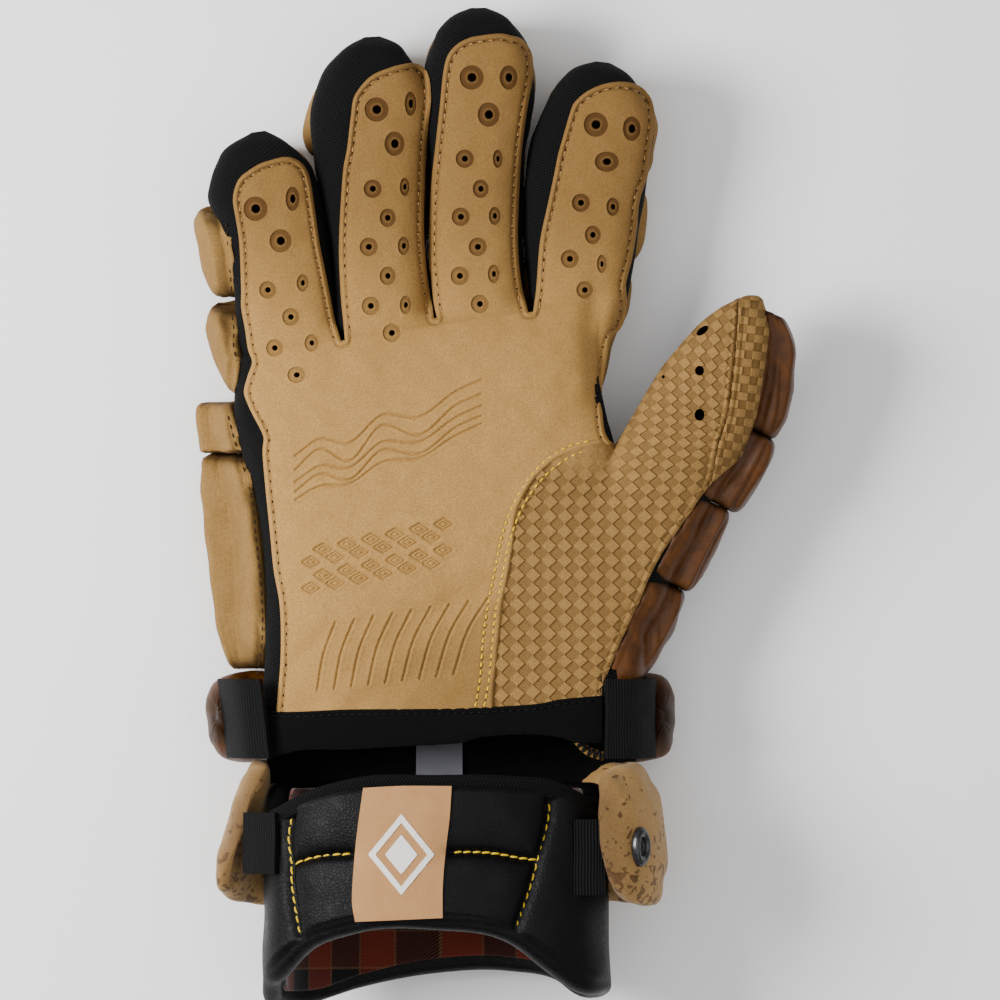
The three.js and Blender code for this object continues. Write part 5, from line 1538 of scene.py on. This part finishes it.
def round_cuff(turn, stand_off, depth):
    """X and Z of a place round the cuff, at a turn in degrees from the back's middle."""
    angle, power = math.radians(turn), 2 / CUFF_POWER
    s, c = math.sin(angle), math.cos(angle)
    return (CUFF_X + math.copysign(abs(s) ** power, s) * (CUFF_WIDTH / 2 + stand_off),
            CUFF_Z - math.copysign(abs(c) ** power, c) * (CUFF_DEPTH / 2 + depth))


# Guard: turn, down, long, thick, stand and lean, as in the frame
SHIELD = [(-97, .2, .6, .5, 7, .3), (-92, .2, .8, .85, 7, .3), (-80, .205, .93, 1, 8, .24),
          (-62, .225, 1, 1, 10, .12), (-40, .235, 1, 1, 11.5, 0), (0, .235, 1, 1, 11.5, 0),
          (40, .235, 1, 1, 11.5, 0), (62, .235, 1, 1, 11.5, -.04), (80, .235, 1, 1, 11.5, -.08),
          (94, .235, 1, 1, 11.5, -.12), (108, .235, .98, 1, 11.5, -.12), (118, .235, .95, .97, 11.5, -.12),
          (126, .235, .9, .9, 11.5, -.12), (131, .235, .75, .55, 11.5, -.12)]
path = []
for turn, down, long, thick, stand, lean in SHIELD:
    x, z = round_cuff(turn, stand, SHIELD_THICK + 2 * CLEARANCE)
    path.append((x, z, CUFF_TOP - CUFF_LENGTH * down, SHIELD_LONG / 2 * long, SHIELD_THICK * thick, lean))


def shield_splash(points):
    """How thickly the guard is splashed."""
    low = step(100, 130, -points[:, 1])
    return np.clip(0.1 + 0.9 * low, 0, 1) * (0.85 + 0.15 * step(0, 40, points[:, 0]))


pad("cuff_shield_padding", bent_rings(path, 64, 170), SPLASHED, "cuff_shield", 75, 0.4,
    splash=shield_splash, pull=0.1)
fill_pads()

# Cuff: side, top edge, rim of the palm side and rim of the back, as shares of its length
RIMS = [(-1.1, .16, .93, .97), (-.97, .125, .88, .995), (-.8, .05, .74, .99), (-.5, -.02, .64, .92),
        (0, -.035, .62, .845), (.45, -.03, .685, .835), (.75, 0, .86, .88), (.9, .06, .93, .955),
        (1.1, .1, .9, .92)]
QUILT = [
    [(294, 812), (290, 835), (293, 863), (293, 880), (298, 915), (301, 932)],
    [(294, 863), (310, 857), (330, 853), (352, 852)],
    [(451, 850), (480, 850), (500, 852), (520, 856), (537, 858)],
    [(549, 799), (548, 815), (545, 830), (537, 858), (534, 870), (528, 890), (515, 927)],
]
quilt_lines = [curve(line, 0.8) for line in QUILT]
# Share of the cuff's length, then shares of its width and depth there
CUFF_TAPER = [(-.2, .955, .94), (.25, .975, .99), (.6, .99, 1), (1.1, 1.005, 1)]
CUFF_INSIDE = 6.6  # from the outer surface to the inner one


def cuff_half(down):
    """Half width and half depth of the cuff at shares of its length."""
    stops = column(CUFF_TAPER, 0)
    return (spline(stops, column(CUFF_TAPER, 1), down) * CUFF_WIDTH / 2,
            spline(stops, column(CUFF_TAPER, 2), down) * CUFF_DEPTH / 2)


def squared(value, power):
    """Sine or cosine for a section that is squarer than a circle."""
    return np.sign(value) * np.abs(value) ** (2 / power)


def cuff_surface(turn, down, out=0.0):
    """Point of the cuff's outer surface: turn from the palm side's middle, share down, moved out."""
    wide, deep = cuff_half(down)
    x = CUFF_X + squared(np.sin(turn), CUFF_POWER) * (wide + out)
    z = CUFF_Z + squared(np.cos(turn), CUFF_POWER) * (deep + out)
    return np.stack([x, CUFF_TOP - CUFF_LENGTH * down, z], axis=-1)


def cuff_rims(turn):
    """Top edge and rim of the cuff at a turn, as shares of its length."""
    side = squared(np.sin(turn), CUFF_POWER)
    palm = step(-0.28, 0.28, squared(np.cos(turn), CUFF_POWER))
    palm_top, palm_rim, back_rim = (spline(column(RIMS, 0), column(RIMS, k), side) for k in (1, 2, 3))
    return palm_top * palm, palm_rim * palm + back_rim * (1 - palm)


turns = np.linspace(0, 2 * np.pi, 300, endpoint=False)


def cuff_puff(points):
    """How far the quilted leather stands out."""
    puff = np.zeros(len(points))
    palm = points[:, 2] > CUFF_Z + 4
    plan = points[palm][:, :2]
    nearest_line = np.full(len(plan), 1e9)
    for line in quilt_lines:
        distance, _, _ = nearest(plan, line, False, 0.4)
        nearest_line = np.minimum(nearest_line, distance)
    lift = step(CUFF_Z + 4, CUFF_Z + 22, points[palm][:, 2])
    puff[palm] = lift * (2.6 * (1 - np.exp(-nearest_line / 4.0)) - 1.5 * ridge(nearest_line, 1.2))
    return puff


def cuff_outward(points):
    """Directions away from the middle of the cuff."""
    out = np.column_stack([points[:, 0] - CUFF_X, np.zeros(len(points)), (points[:, 2] - CUFF_Z) * 2.2])
    return out / np.linalg.norm(out, axis=1)[:, None]


def cuff_padding(rows_out=70, rows_in=40, rows_roll=14):
    """Quilted cuff: its outside, the roll of the rim, its inside and the roll of the top edge."""
    top, rim = cuff_rims(turns)
    angles = math.pi * np.linspace(0, 1, rows_roll)[1:-1]
    rings = []
    for t in np.linspace(0, 1, rows_out):
        rings.append(cuff_surface(turns, top + (rim - top) * t + 0.02))
    for angle in angles:
        rings.append(cuff_surface(turns, rim + 0.02 + math.sin(angle) * 3.0 / CUFF_LENGTH,
                                  -CUFF_INSIDE / 2 * (1 - math.cos(angle))))
    for t in np.linspace(1, 0, rows_in):
        rings.append(cuff_surface(turns, top + (rim - top) * t + 0.02, -CUFF_INSIDE))
    for angle in angles:
        rings.append(cuff_surface(turns, top + 0.02 - math.sin(angle) * 2.0 / CUFF_LENGTH,
                                  -CUFF_INSIDE / 2 * (1 + math.cos(angle))))
    rings = np.array(rings)
    rows, sides = rings.shape[:2]
    points = rings.reshape(-1, 3)
    puffed = np.zeros(len(points))
    down = np.repeat(np.linspace(0, 1, rows_out), sides)
    puffed[:len(down)] = cuff_puff(points[:len(down)]) * (step(0, 0.06, down) * step(1, 0.93, down))
    points = points + cuff_outward(points) * (puffed + 0.25 * soft_noise(points, 16, 31))[:, None]
    steps = np.linalg.norm(np.diff(rings[:, 0], axis=0), axis=1)
    uv = np.column_stack([np.tile(turns * 55, rows), np.repeat(np.cumsum(np.r_[0, steps]), sides)])
    make("cuff_padding", points, grid_faces(rows, sides, close_rows=True), VINYL,
         ["cuff_pad"], uv=uv)


def cuff_lining(out=-6.9, thickness=1.2, rows=60):
    """Checked cloth inside the cuff, all round it."""
    top, rim = cuff_rims(turns)
    shares = np.linspace(0.02, 0.99, rows)
    rings = [cuff_surface(turns, top + (rim - top) * t, out) for t in shares]
    rings += [cuff_surface(turns, top + (rim - top) * t, out - thickness) for t in reversed(shares)]
    points = np.array(rings).reshape(-1, 3)
    points = points + cuff_outward(points) * (soft_noise(points * (1, 0.6, 1), 22, 5) * 0.3)[:, None]
    uv = np.column_stack([np.tile(turns * 50, len(rings)), points[:, 1]])
    make("cuff_lining_cloth", points, grid_faces(len(rings), len(turns), close_rows=True), PLAID,
         ["cuff_lining"], uv=uv)


cuff_padding()
cuff_lining()


def cuff_top_height(points, out=0.0):
    """Height of the cuff's palm side over plan points."""
    wide, deep = cuff_half((CUFF_TOP - points[:, 1]) / CUFF_LENGTH)
    t = np.clip(np.abs(points[:, 0] - CUFF_X) / wide, 0, 0.985)
    z = CUFF_Z + deep * (1 - t**CUFF_POWER) ** (1 / CUFF_POWER)
    return z + cuff_puff(np.column_stack([points, z])) * out


def binding(width=5.3, height=1.0):
    """Tape folded over the top edge of the palm side."""
    turn = np.linspace(-1.32, 1.32, 260)
    top, _ = cuff_rims(turn)
    profile = [(width, 0.2)] + [(s, height) for s in np.linspace(width, 0.8, 9)]
    for angle in np.linspace(0.1, 0.9, 9) * math.pi:
        profile.append((0.9 - math.sin(angle) * 2.1,
                        height / 2 - CUFF_INSIDE / 2 * (1 - math.cos(angle)) + height / 2))
    profile += [(s, -CUFF_INSIDE - height * 0.4) for s in np.linspace(0.8, width, 7)]
    outer = [cuff_surface(turn, top + down / CUFF_LENGTH, out) for down, out in profile]
    inner = [cuff_surface(turn, top + (down + 0.5) / CUFF_LENGTH, out * 0.75 - 0.6)
             for down, out in reversed(profile)]
    rings = np.array(outer + inner).transpose(1, 0, 2)
    points, faces, _ = tube(rings)
    length = np.cumsum(np.r_[0, np.linalg.norm(np.diff(rings.mean(axis=1), axis=0), axis=1)])
    middle_ring = rings[len(rings) // 2]
    across = np.cumsum(np.r_[0, np.linalg.norm(np.diff(middle_ring, axis=0), axis=1)])
    uv = np.column_stack([np.repeat(length, len(across)), np.tile(across, len(length))])
    make("cuff_binding", points, faces, TAPE, ["cuff_edge_tape"],
         uv=np.vstack([uv, [0, 0], [0, 0]]), sharp=50)


binding()

# Badge on the cuff
PATCH = [(364, 786), (400, 784), (452, 784), (450, 815), (447, 840), (444, 870), (443, 890), (443, 915),
         (400, 917), (356, 919), (353, 900), (355, 860), (358, 830)]


def patch_surface(points, detail=True):
    height = cuff_top_height(points, 1.0) + 0.9
    return height + (0.08 * flat_noise(points, 7, 8) if detail else 0)


PATCH_SIDES = [PATCH[0:3], PATCH[2:8], PATCH[7:10], PATCH[9:] + PATCH[:1]]
patch_outline = np.vstack([curve(side, 0.9)[:-1] for side in PATCH_SIDES])
sheet_panel("cuff_badge", patch_outline, patch_surface, 0.8, 0.9, COPPER, ["cuff_patch"],
            tone=lambda p: np.zeros(len(p)))


def diamond(size):
    """Outline of a lozenge in the middle of the badge."""
    corners = np.array([(0, size * 1.22), (size, 0), (0, -size * 1.22), (-size, 0), (0, size * 1.22)])
    return even(corners + at(402, 852), 0.7)[:-1]


def frame_outline(outer, inner):
    """One outline of a frame, cut open by a hair's breadth at its top."""
    outer = np.roll(outer, -np.argmax(outer[:, 1]), axis=0)
    inner = np.roll(inner, -np.argmax(inner[:, 1]), axis=0)[::-1]
    gap = np.array([0.02, 0])
    return np.vstack([outer[:1] + gap, outer[1:], outer[:1] - gap,
                      inner[-1:] - gap, inner[:-1], inner[-1:] + gap])


def motif_surface(points, detail=True):
    return patch_surface(points, False) + 0.3


# Plain lozenges on the badge: a frame and a full one in it
for place, outline in enumerate([frame_outline(diamond(11.0), diamond(8.6)), diamond(5.4)]):
    sheet_panel(f"badge_motif_{place}", outline, motif_surface, 0.4, 0.8, WHITE)

# Wrist band along the lower edge of the palm
BAND_TOP = [(262, 707), (276, 711), (350, 709), (450, 708), (500, 706), (540, 703), (560, 699), (604, 695)]
BAND_LOW = [(604, 742), (590, 743), (575, 742), (560, 737), (530, 734), (500, 735), (480, 737), (463, 742),
            (400, 746), (350, 749), (300, 750), (268, 757), (258, 752)]


BAND_SEAM = 1.7  # from the band's upper edge to its row of stitches


def band_surface(points, detail=True):
    top, _, _ = nearest(points, band_top, False, 0.5)
    low, _, _ = nearest(points, band_low, False, 0.5)
    share = top / np.maximum(top + low, 1e-6)
    round_off = np.sqrt(np.maximum(1 - (2 * share - 1) ** 4, 0))
    x = points[:, 0]
    y = np.maximum(points[:, 1], WRIST_Y + 1)
    height = palm_side(x, y) + 0.6 + 1.7 * round_off
    if detail:
        height = height - 0.7 * ridge(top, 0.5, BAND_SEAM) + 0.15 * flat_noise(points, 8, 6)
    return height


band_top, band_low = curve(BAND_TOP, 0.9), curve(BAND_LOW, 0.9)
band_outline = np.vstack([band_top, band_low])
sheet_panel("wrist_band_cloth", band_outline, band_surface, 3.0, 0.9, BAND, ["wrist_band"])


# Side elastics and the lower elastics of the guard
def strap_piece(name, line, y_low, y_high, node, seed, lean=0.0, thickness=2.2):
    """Elastic strap along a line of x and z, between two places on Y."""
    pitch = 0.7
    line = even(smooth_line(np.array(line, float)), pitch)
    way = np.gradient(line, axis=0)
    way /= np.linalg.norm(way, axis=1)[:, None]
    normal = np.column_stack([-way[:, 1], way[:, 0]])
    if normal[len(normal) // 2][1] < 0:
        normal = -normal
    ys = np.linspace(y_low, y_high, 40)
    skins = []
    for lift in (thickness, 0.0):
        grid = np.array([[(*(p + n * lift), y) for p, n in zip(line, normal)] for y in ys])
        skins.append(grid[:, :, [0, 2, 1]])
    count_y, count_s = len(ys), len(line)
    outer = np.concatenate([skins[0], skins[1][:, ::-1]], axis=1)
    points, faces, _ = tube(outer)
    s = np.r_[np.arange(count_s), np.arange(count_s)[::-1]] * pitch
    uv = np.column_stack([np.tile(s, count_y), np.repeat(ys, 2 * count_s)])
    uv = np.vstack([uv, [0, 0], [0, 0]])
    wave = soft_noise(points, 12, seed) * 0.25
    points[:, 2] += wave
    points[:, 0] += wave * 0.6 + lean * (points[:, 1] - (y_low + y_high) / 2)
    make(name, points, faces, ELASTIC, [node], uv=uv, sharp=50)


def hand_line(rows):
    """X and Z of places given as shares of the hand's width and depth."""
    return [(HAND_X + side * HAND_WIDTH, HAND_BASE + rise * HAND_DEPTH) for side, rise in rows]


low_y, high_y = WRIST_Y - 0.125 * HAND_LENGTH, WRIST_Y + 0.075 * HAND_LENGTH
strap_piece("elastic_left", hand_line([(-.45, .93), (-.5, .82), (-.532, .6), (-.55, .34)]), low_y, high_y,
            "side_elastic_left", 2, lean=-0.12)
strap_piece("elastic_right", hand_line([(.4, 1.04), (.46, .92), (.502, .66), (.515, .34)]), low_y, high_y,
            "side_elastic_right", 3)
for side, start, end, line in (("left", .13, .42, [(-118, .03), (-109, .22), (-101, .5)]),
                               ("right", .16, .52, [(131, .03), (126, .25), (121, .5)])):
    stops = [round_cuff(turn, SHIELD_STAND * stand, 2 * SHIELD_THICK * stand) for turn, stand in line]
    strap_piece(f"lower_elastic_{side}", stops, CUFF_TOP - CUFF_LENGTH * end, CUFF_TOP - CUFF_LENGTH * start,
                f"cuff_gusset_{side}", 4)


EYELET_TURN = 117


def eyelet():
    """Oval eyelet near the thumb end of the guard."""
    low, high = (np.array(corner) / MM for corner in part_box("shield_eyelet"))
    middle = (low + high) / 2
    x, z = round_cuff(EYELET_TURN, SHIELD_STAND, SHIELD_THICK + CLEARANCE)
    back_x, back_z = round_cuff(EYELET_TURN - 3, SHIELD_STAND, SHIELD_THICK + CLEARANCE)
    normal = np.array([z - back_z, 0, back_x - x])
    normal /= np.linalg.norm(normal)
    along = np.array([normal[2], 0, -normal[0]])
    profile = [(0.05, -0.7), (2.5, -0.65), (2.9, -0.1), (3.4, 0.55), (4.4, 0.95), (5.4, 0.85), (6.2, 0.4),
               (6.5, -0.2), (6.5, -1.4), (0.05, -1.6)]
    profile = smooth_line(np.array(profile), False, 4)
    turn = np.linspace(0, 2 * np.pi, 72, endpoint=False)
    rings = []
    for radius, lift in profile:
        rings.append(middle + np.outer(np.cos(turn) * radius * 0.62, along)
                     + np.outer(np.sin(turn) * radius, (0, 1, 0)) + normal * lift)
    points, faces, uv = tube(np.array(rings))
    make("guard_eyelet", points, faces, RING, ["shield_eyelet"], uv=uv, sharp=60)


eyelet()


def label():
    """Plain woven label, sewn in at the wrist gap."""
    low, high = (np.array(corner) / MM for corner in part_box("care_label"))
    xs, ys = np.linspace(low[0], high[0], 32), np.linspace(low[1], high[1], 34)
    grid = np.array([[(x, y, high[2]) for x in xs] for y in ys])
    grid[:, :, 2] += 0.35 * np.sin((grid[:, :, 1] - low[1]) / 4.2)
    grid[:, :, 2] += 0.2 * np.sin((grid[:, :, 0] - low[0]) / 3.1)
    edge = np.minimum(np.arange(len(xs)), np.arange(len(xs))[::-1])
    grid[:, :, 2] += np.where(edge == 1, 0.12, 0.0)
    under = grid.copy()
    under[:, :, 2] -= 0.5
    outer = np.concatenate([grid, under[:, ::-1]], axis=1)
    points, faces, _ = tube(outer)
    make("care_label_cloth", points, faces, LABEL, ["care_label"], uv=points[:, :2], sharp=50)


label()


# Stitches: the pitch of each kind of row
EDGE_ROW, SEAM_ROW, FLAP_ROW, BAND_ROW, QUILT_ROW = 3.4, 2.7, 3.0, 2.6, 3.3


def palm_stitches():
    """Rows along the edge of the palm's leather and along the thumb's seam."""
    surface = lambda p: palm_surface(p, False) + edge_relief(p, palm_line)
    tan_rows, dark_rows = [], []
    for edge in palm_edges:
        inner = offset(edge, -EDGE_BAND)
        keep = nearest(inner, palm_line, False, 0.4)[0] > EDGE_BAND - 0.35
        for run in np.split(inner, np.where(~keep)[0]):
            if len(run) > 6:
                tan_rows += stitch_row(run[1:], surface, EDGE_ROW, 2.5, 0.12)
                dark_rows += stitch_row(run[3:], surface, EDGE_ROW, 1.0, 0.2)
    capsules("palm_stitches", tan_rows, 0.24, TAN_THREAD, dip=0.25)
    capsules("palm_needle_holes", dark_rows, 0.26, DARK_THREAD, dip=0.1)
    rows, holes = [], []
    seam_surface = lambda p: palm_surface(p, False) - 0.3
    for line in yellow_lines:
        rows += stitch_row(line, seam_surface, SEAM_ROW, 2.0, 0.32)
        holes += stitch_row(line[2:], seam_surface, SEAM_ROW, 0.7, 0.22)
    capsules("seam_stitches", rows, 0.33, YELLOW, dip=0.25)
    capsules("seam_needle_holes", holes, 0.24, DARK_THREAD)


palm_stitches()


def pad_stitches():
    """Rows along the flanges of the side padding."""
    surface = lambda p: base_of(p) + 0.8
    rows = []
    for line, out, top in ((FLAP_UPPER, -1.4, 214), (FLAP_LOWER, -1.4, 308), (FLAP_HAND, -1.5, 409)):
        line = offset(line, out)
        line = line[line[:, 1] < at(0, top)[1]]
        rows += stitch_row(line[2:-3], surface, FLAP_ROW, 1.9, 0.15)
    capsules("padding_stitches", rows, 0.26, DARK_THREAD, dip=0.25)


pad_stitches()


def band_stitches():
    """Row along the upper edge of the wrist band."""
    line = offset(band_top, -BAND_SEAM)
    surface = lambda p: band_surface(p, False) - 0.3
    rows = stitch_row(line[4:-4], surface, BAND_ROW, 2.0, 0.2)
    capsules("band_stitches", rows, 0.24, BLACK_THREAD, dip=0.2)


band_stitches()


def laced_tab():
    """Tan tab at the thumb side of the wrist gap, held by a zigzag of black thread."""
    line = curve([(573, 735), (579, 742), (587, 750), (596, 754), (604, 756)], 0.5)
    level, half_width = 39.0, 1.5
    left, right = offset(line, half_width), offset(line, -half_width)
    rings = [[(*p, level - 0.6), (*p, level + 0.3), (*((p + q) / 2), level + 0.7), (*q, level + 0.3),
              (*q, level - 0.6)] for p, q in zip(left, right)]
    points, faces, uv = tube(rings)
    make("laced_tab", points, faces, PAD_SUEDE, uv=uv, tone=np.zeros(len(points)))
    rows = []

    def lace(a, b, past):
        start, end = a + (a - b) * past, b + (b - a) * past
        rows.append((np.r_[start, level + 0.9], np.r_[end, level + 0.9], (0, 0, 1)))

    for k in range(2, len(line) - 3, 4):
        lace(left[k], right[k + 2], 0.25)
        if k + 4 < len(line):
            lace(right[k + 2], left[k + 4], 0.2)
    capsules("tab_lacing", rows, 0.42, BLACK_THREAD, dip=0.5)


laced_tab()


def cuff_seams():
    """Dark seams where the side elastics are sewn to the cuff."""
    surface = lambda p: cuff_top_height(p, 1.0)
    rows = []
    for line in ([(583, 812), (584, 840), (586, 872)], [(270, 818), (268, 840), (266, 862)],
                 [(273, 818), (271, 840), (269, 862)]):
        rows += stitch_row(curve(line, 0.6), surface, 1.5, 1.0, 0.2, 0.5)
    zigzag = curve([(591, 812), (592, 840), (594, 874)], 0.6)
    rows += stitch_row(zigzag, surface, 1.7, 1.2, 0.2, 1.2)
    capsules("cuff_seam_stitches", rows, 0.2, SEAM_THREAD, dip=0.1)


cuff_seams()


def cuff_stitches():
    """Yellow rows in the quilting, save under the badge."""
    surface = lambda p: cuff_top_height(p, 1.0)
    rows = []
    for line in quilt_lines:
        for run in np.split(line, np.where(inside(line, patch_outline))[0]):
            if len(run) > 4:
                rows += stitch_row(run[1:], surface, QUILT_ROW, QUILT_ROW, 0.3, 0.12)
    capsules("cuff_stitches", rows, 0.36, YELLOW, 8, 7, dip=0.5)


cuff_stitches()


# Floor and light
def add_stage():
    """White floor, three lamps and a soft sky."""
    size = 3.0
    corners = np.array([(-size, -size, 0), (size, -size, 0), (size, size, 0), (-size, size, 0)])
    floor = link_mesh("floor", corners, [(0, 1, 2, 3)])
    look = Look("floor_paper", 0.9, 0.1)
    tint = look.mix(look.noise(0.01, 2, 0.5), rgb(248, 248, 248), rgb(244, 244, 245))
    floor.data.materials.append(look.finish(tint))
    for name, place, size, power, aim in (
        ("key", (-0.66, 0.1, 0.66), 0.4, 15.5, (-0.02, 0, 0.03)),
        ("fill", (0.9, -0.3, 1.6), 1.6, 7, (0, 0, 0.03)),
        ("top", (0, 0, 2.6), 2.4, 26, (0, 0, 0)),
    ):
        data = bpy.data.lights.new(name, "AREA")
        data.size, data.energy = size, power
        light = bpy.data.objects.new(name, data)
        light.location = place
        light.rotation_euler = (Vector(aim) - Vector(place)).to_track_quat("-Z", "Y").to_euler()
        bpy.context.scene.collection.objects.link(light)
    world = bpy.data.worlds.new("studio")
    bpy.context.scene.world = world
    world.use_nodes = True
    background = world.node_tree.nodes["Background"].inputs
    background[0].default_value, background[1].default_value = (1, 1, 1, 1), 0.42


add_stage()
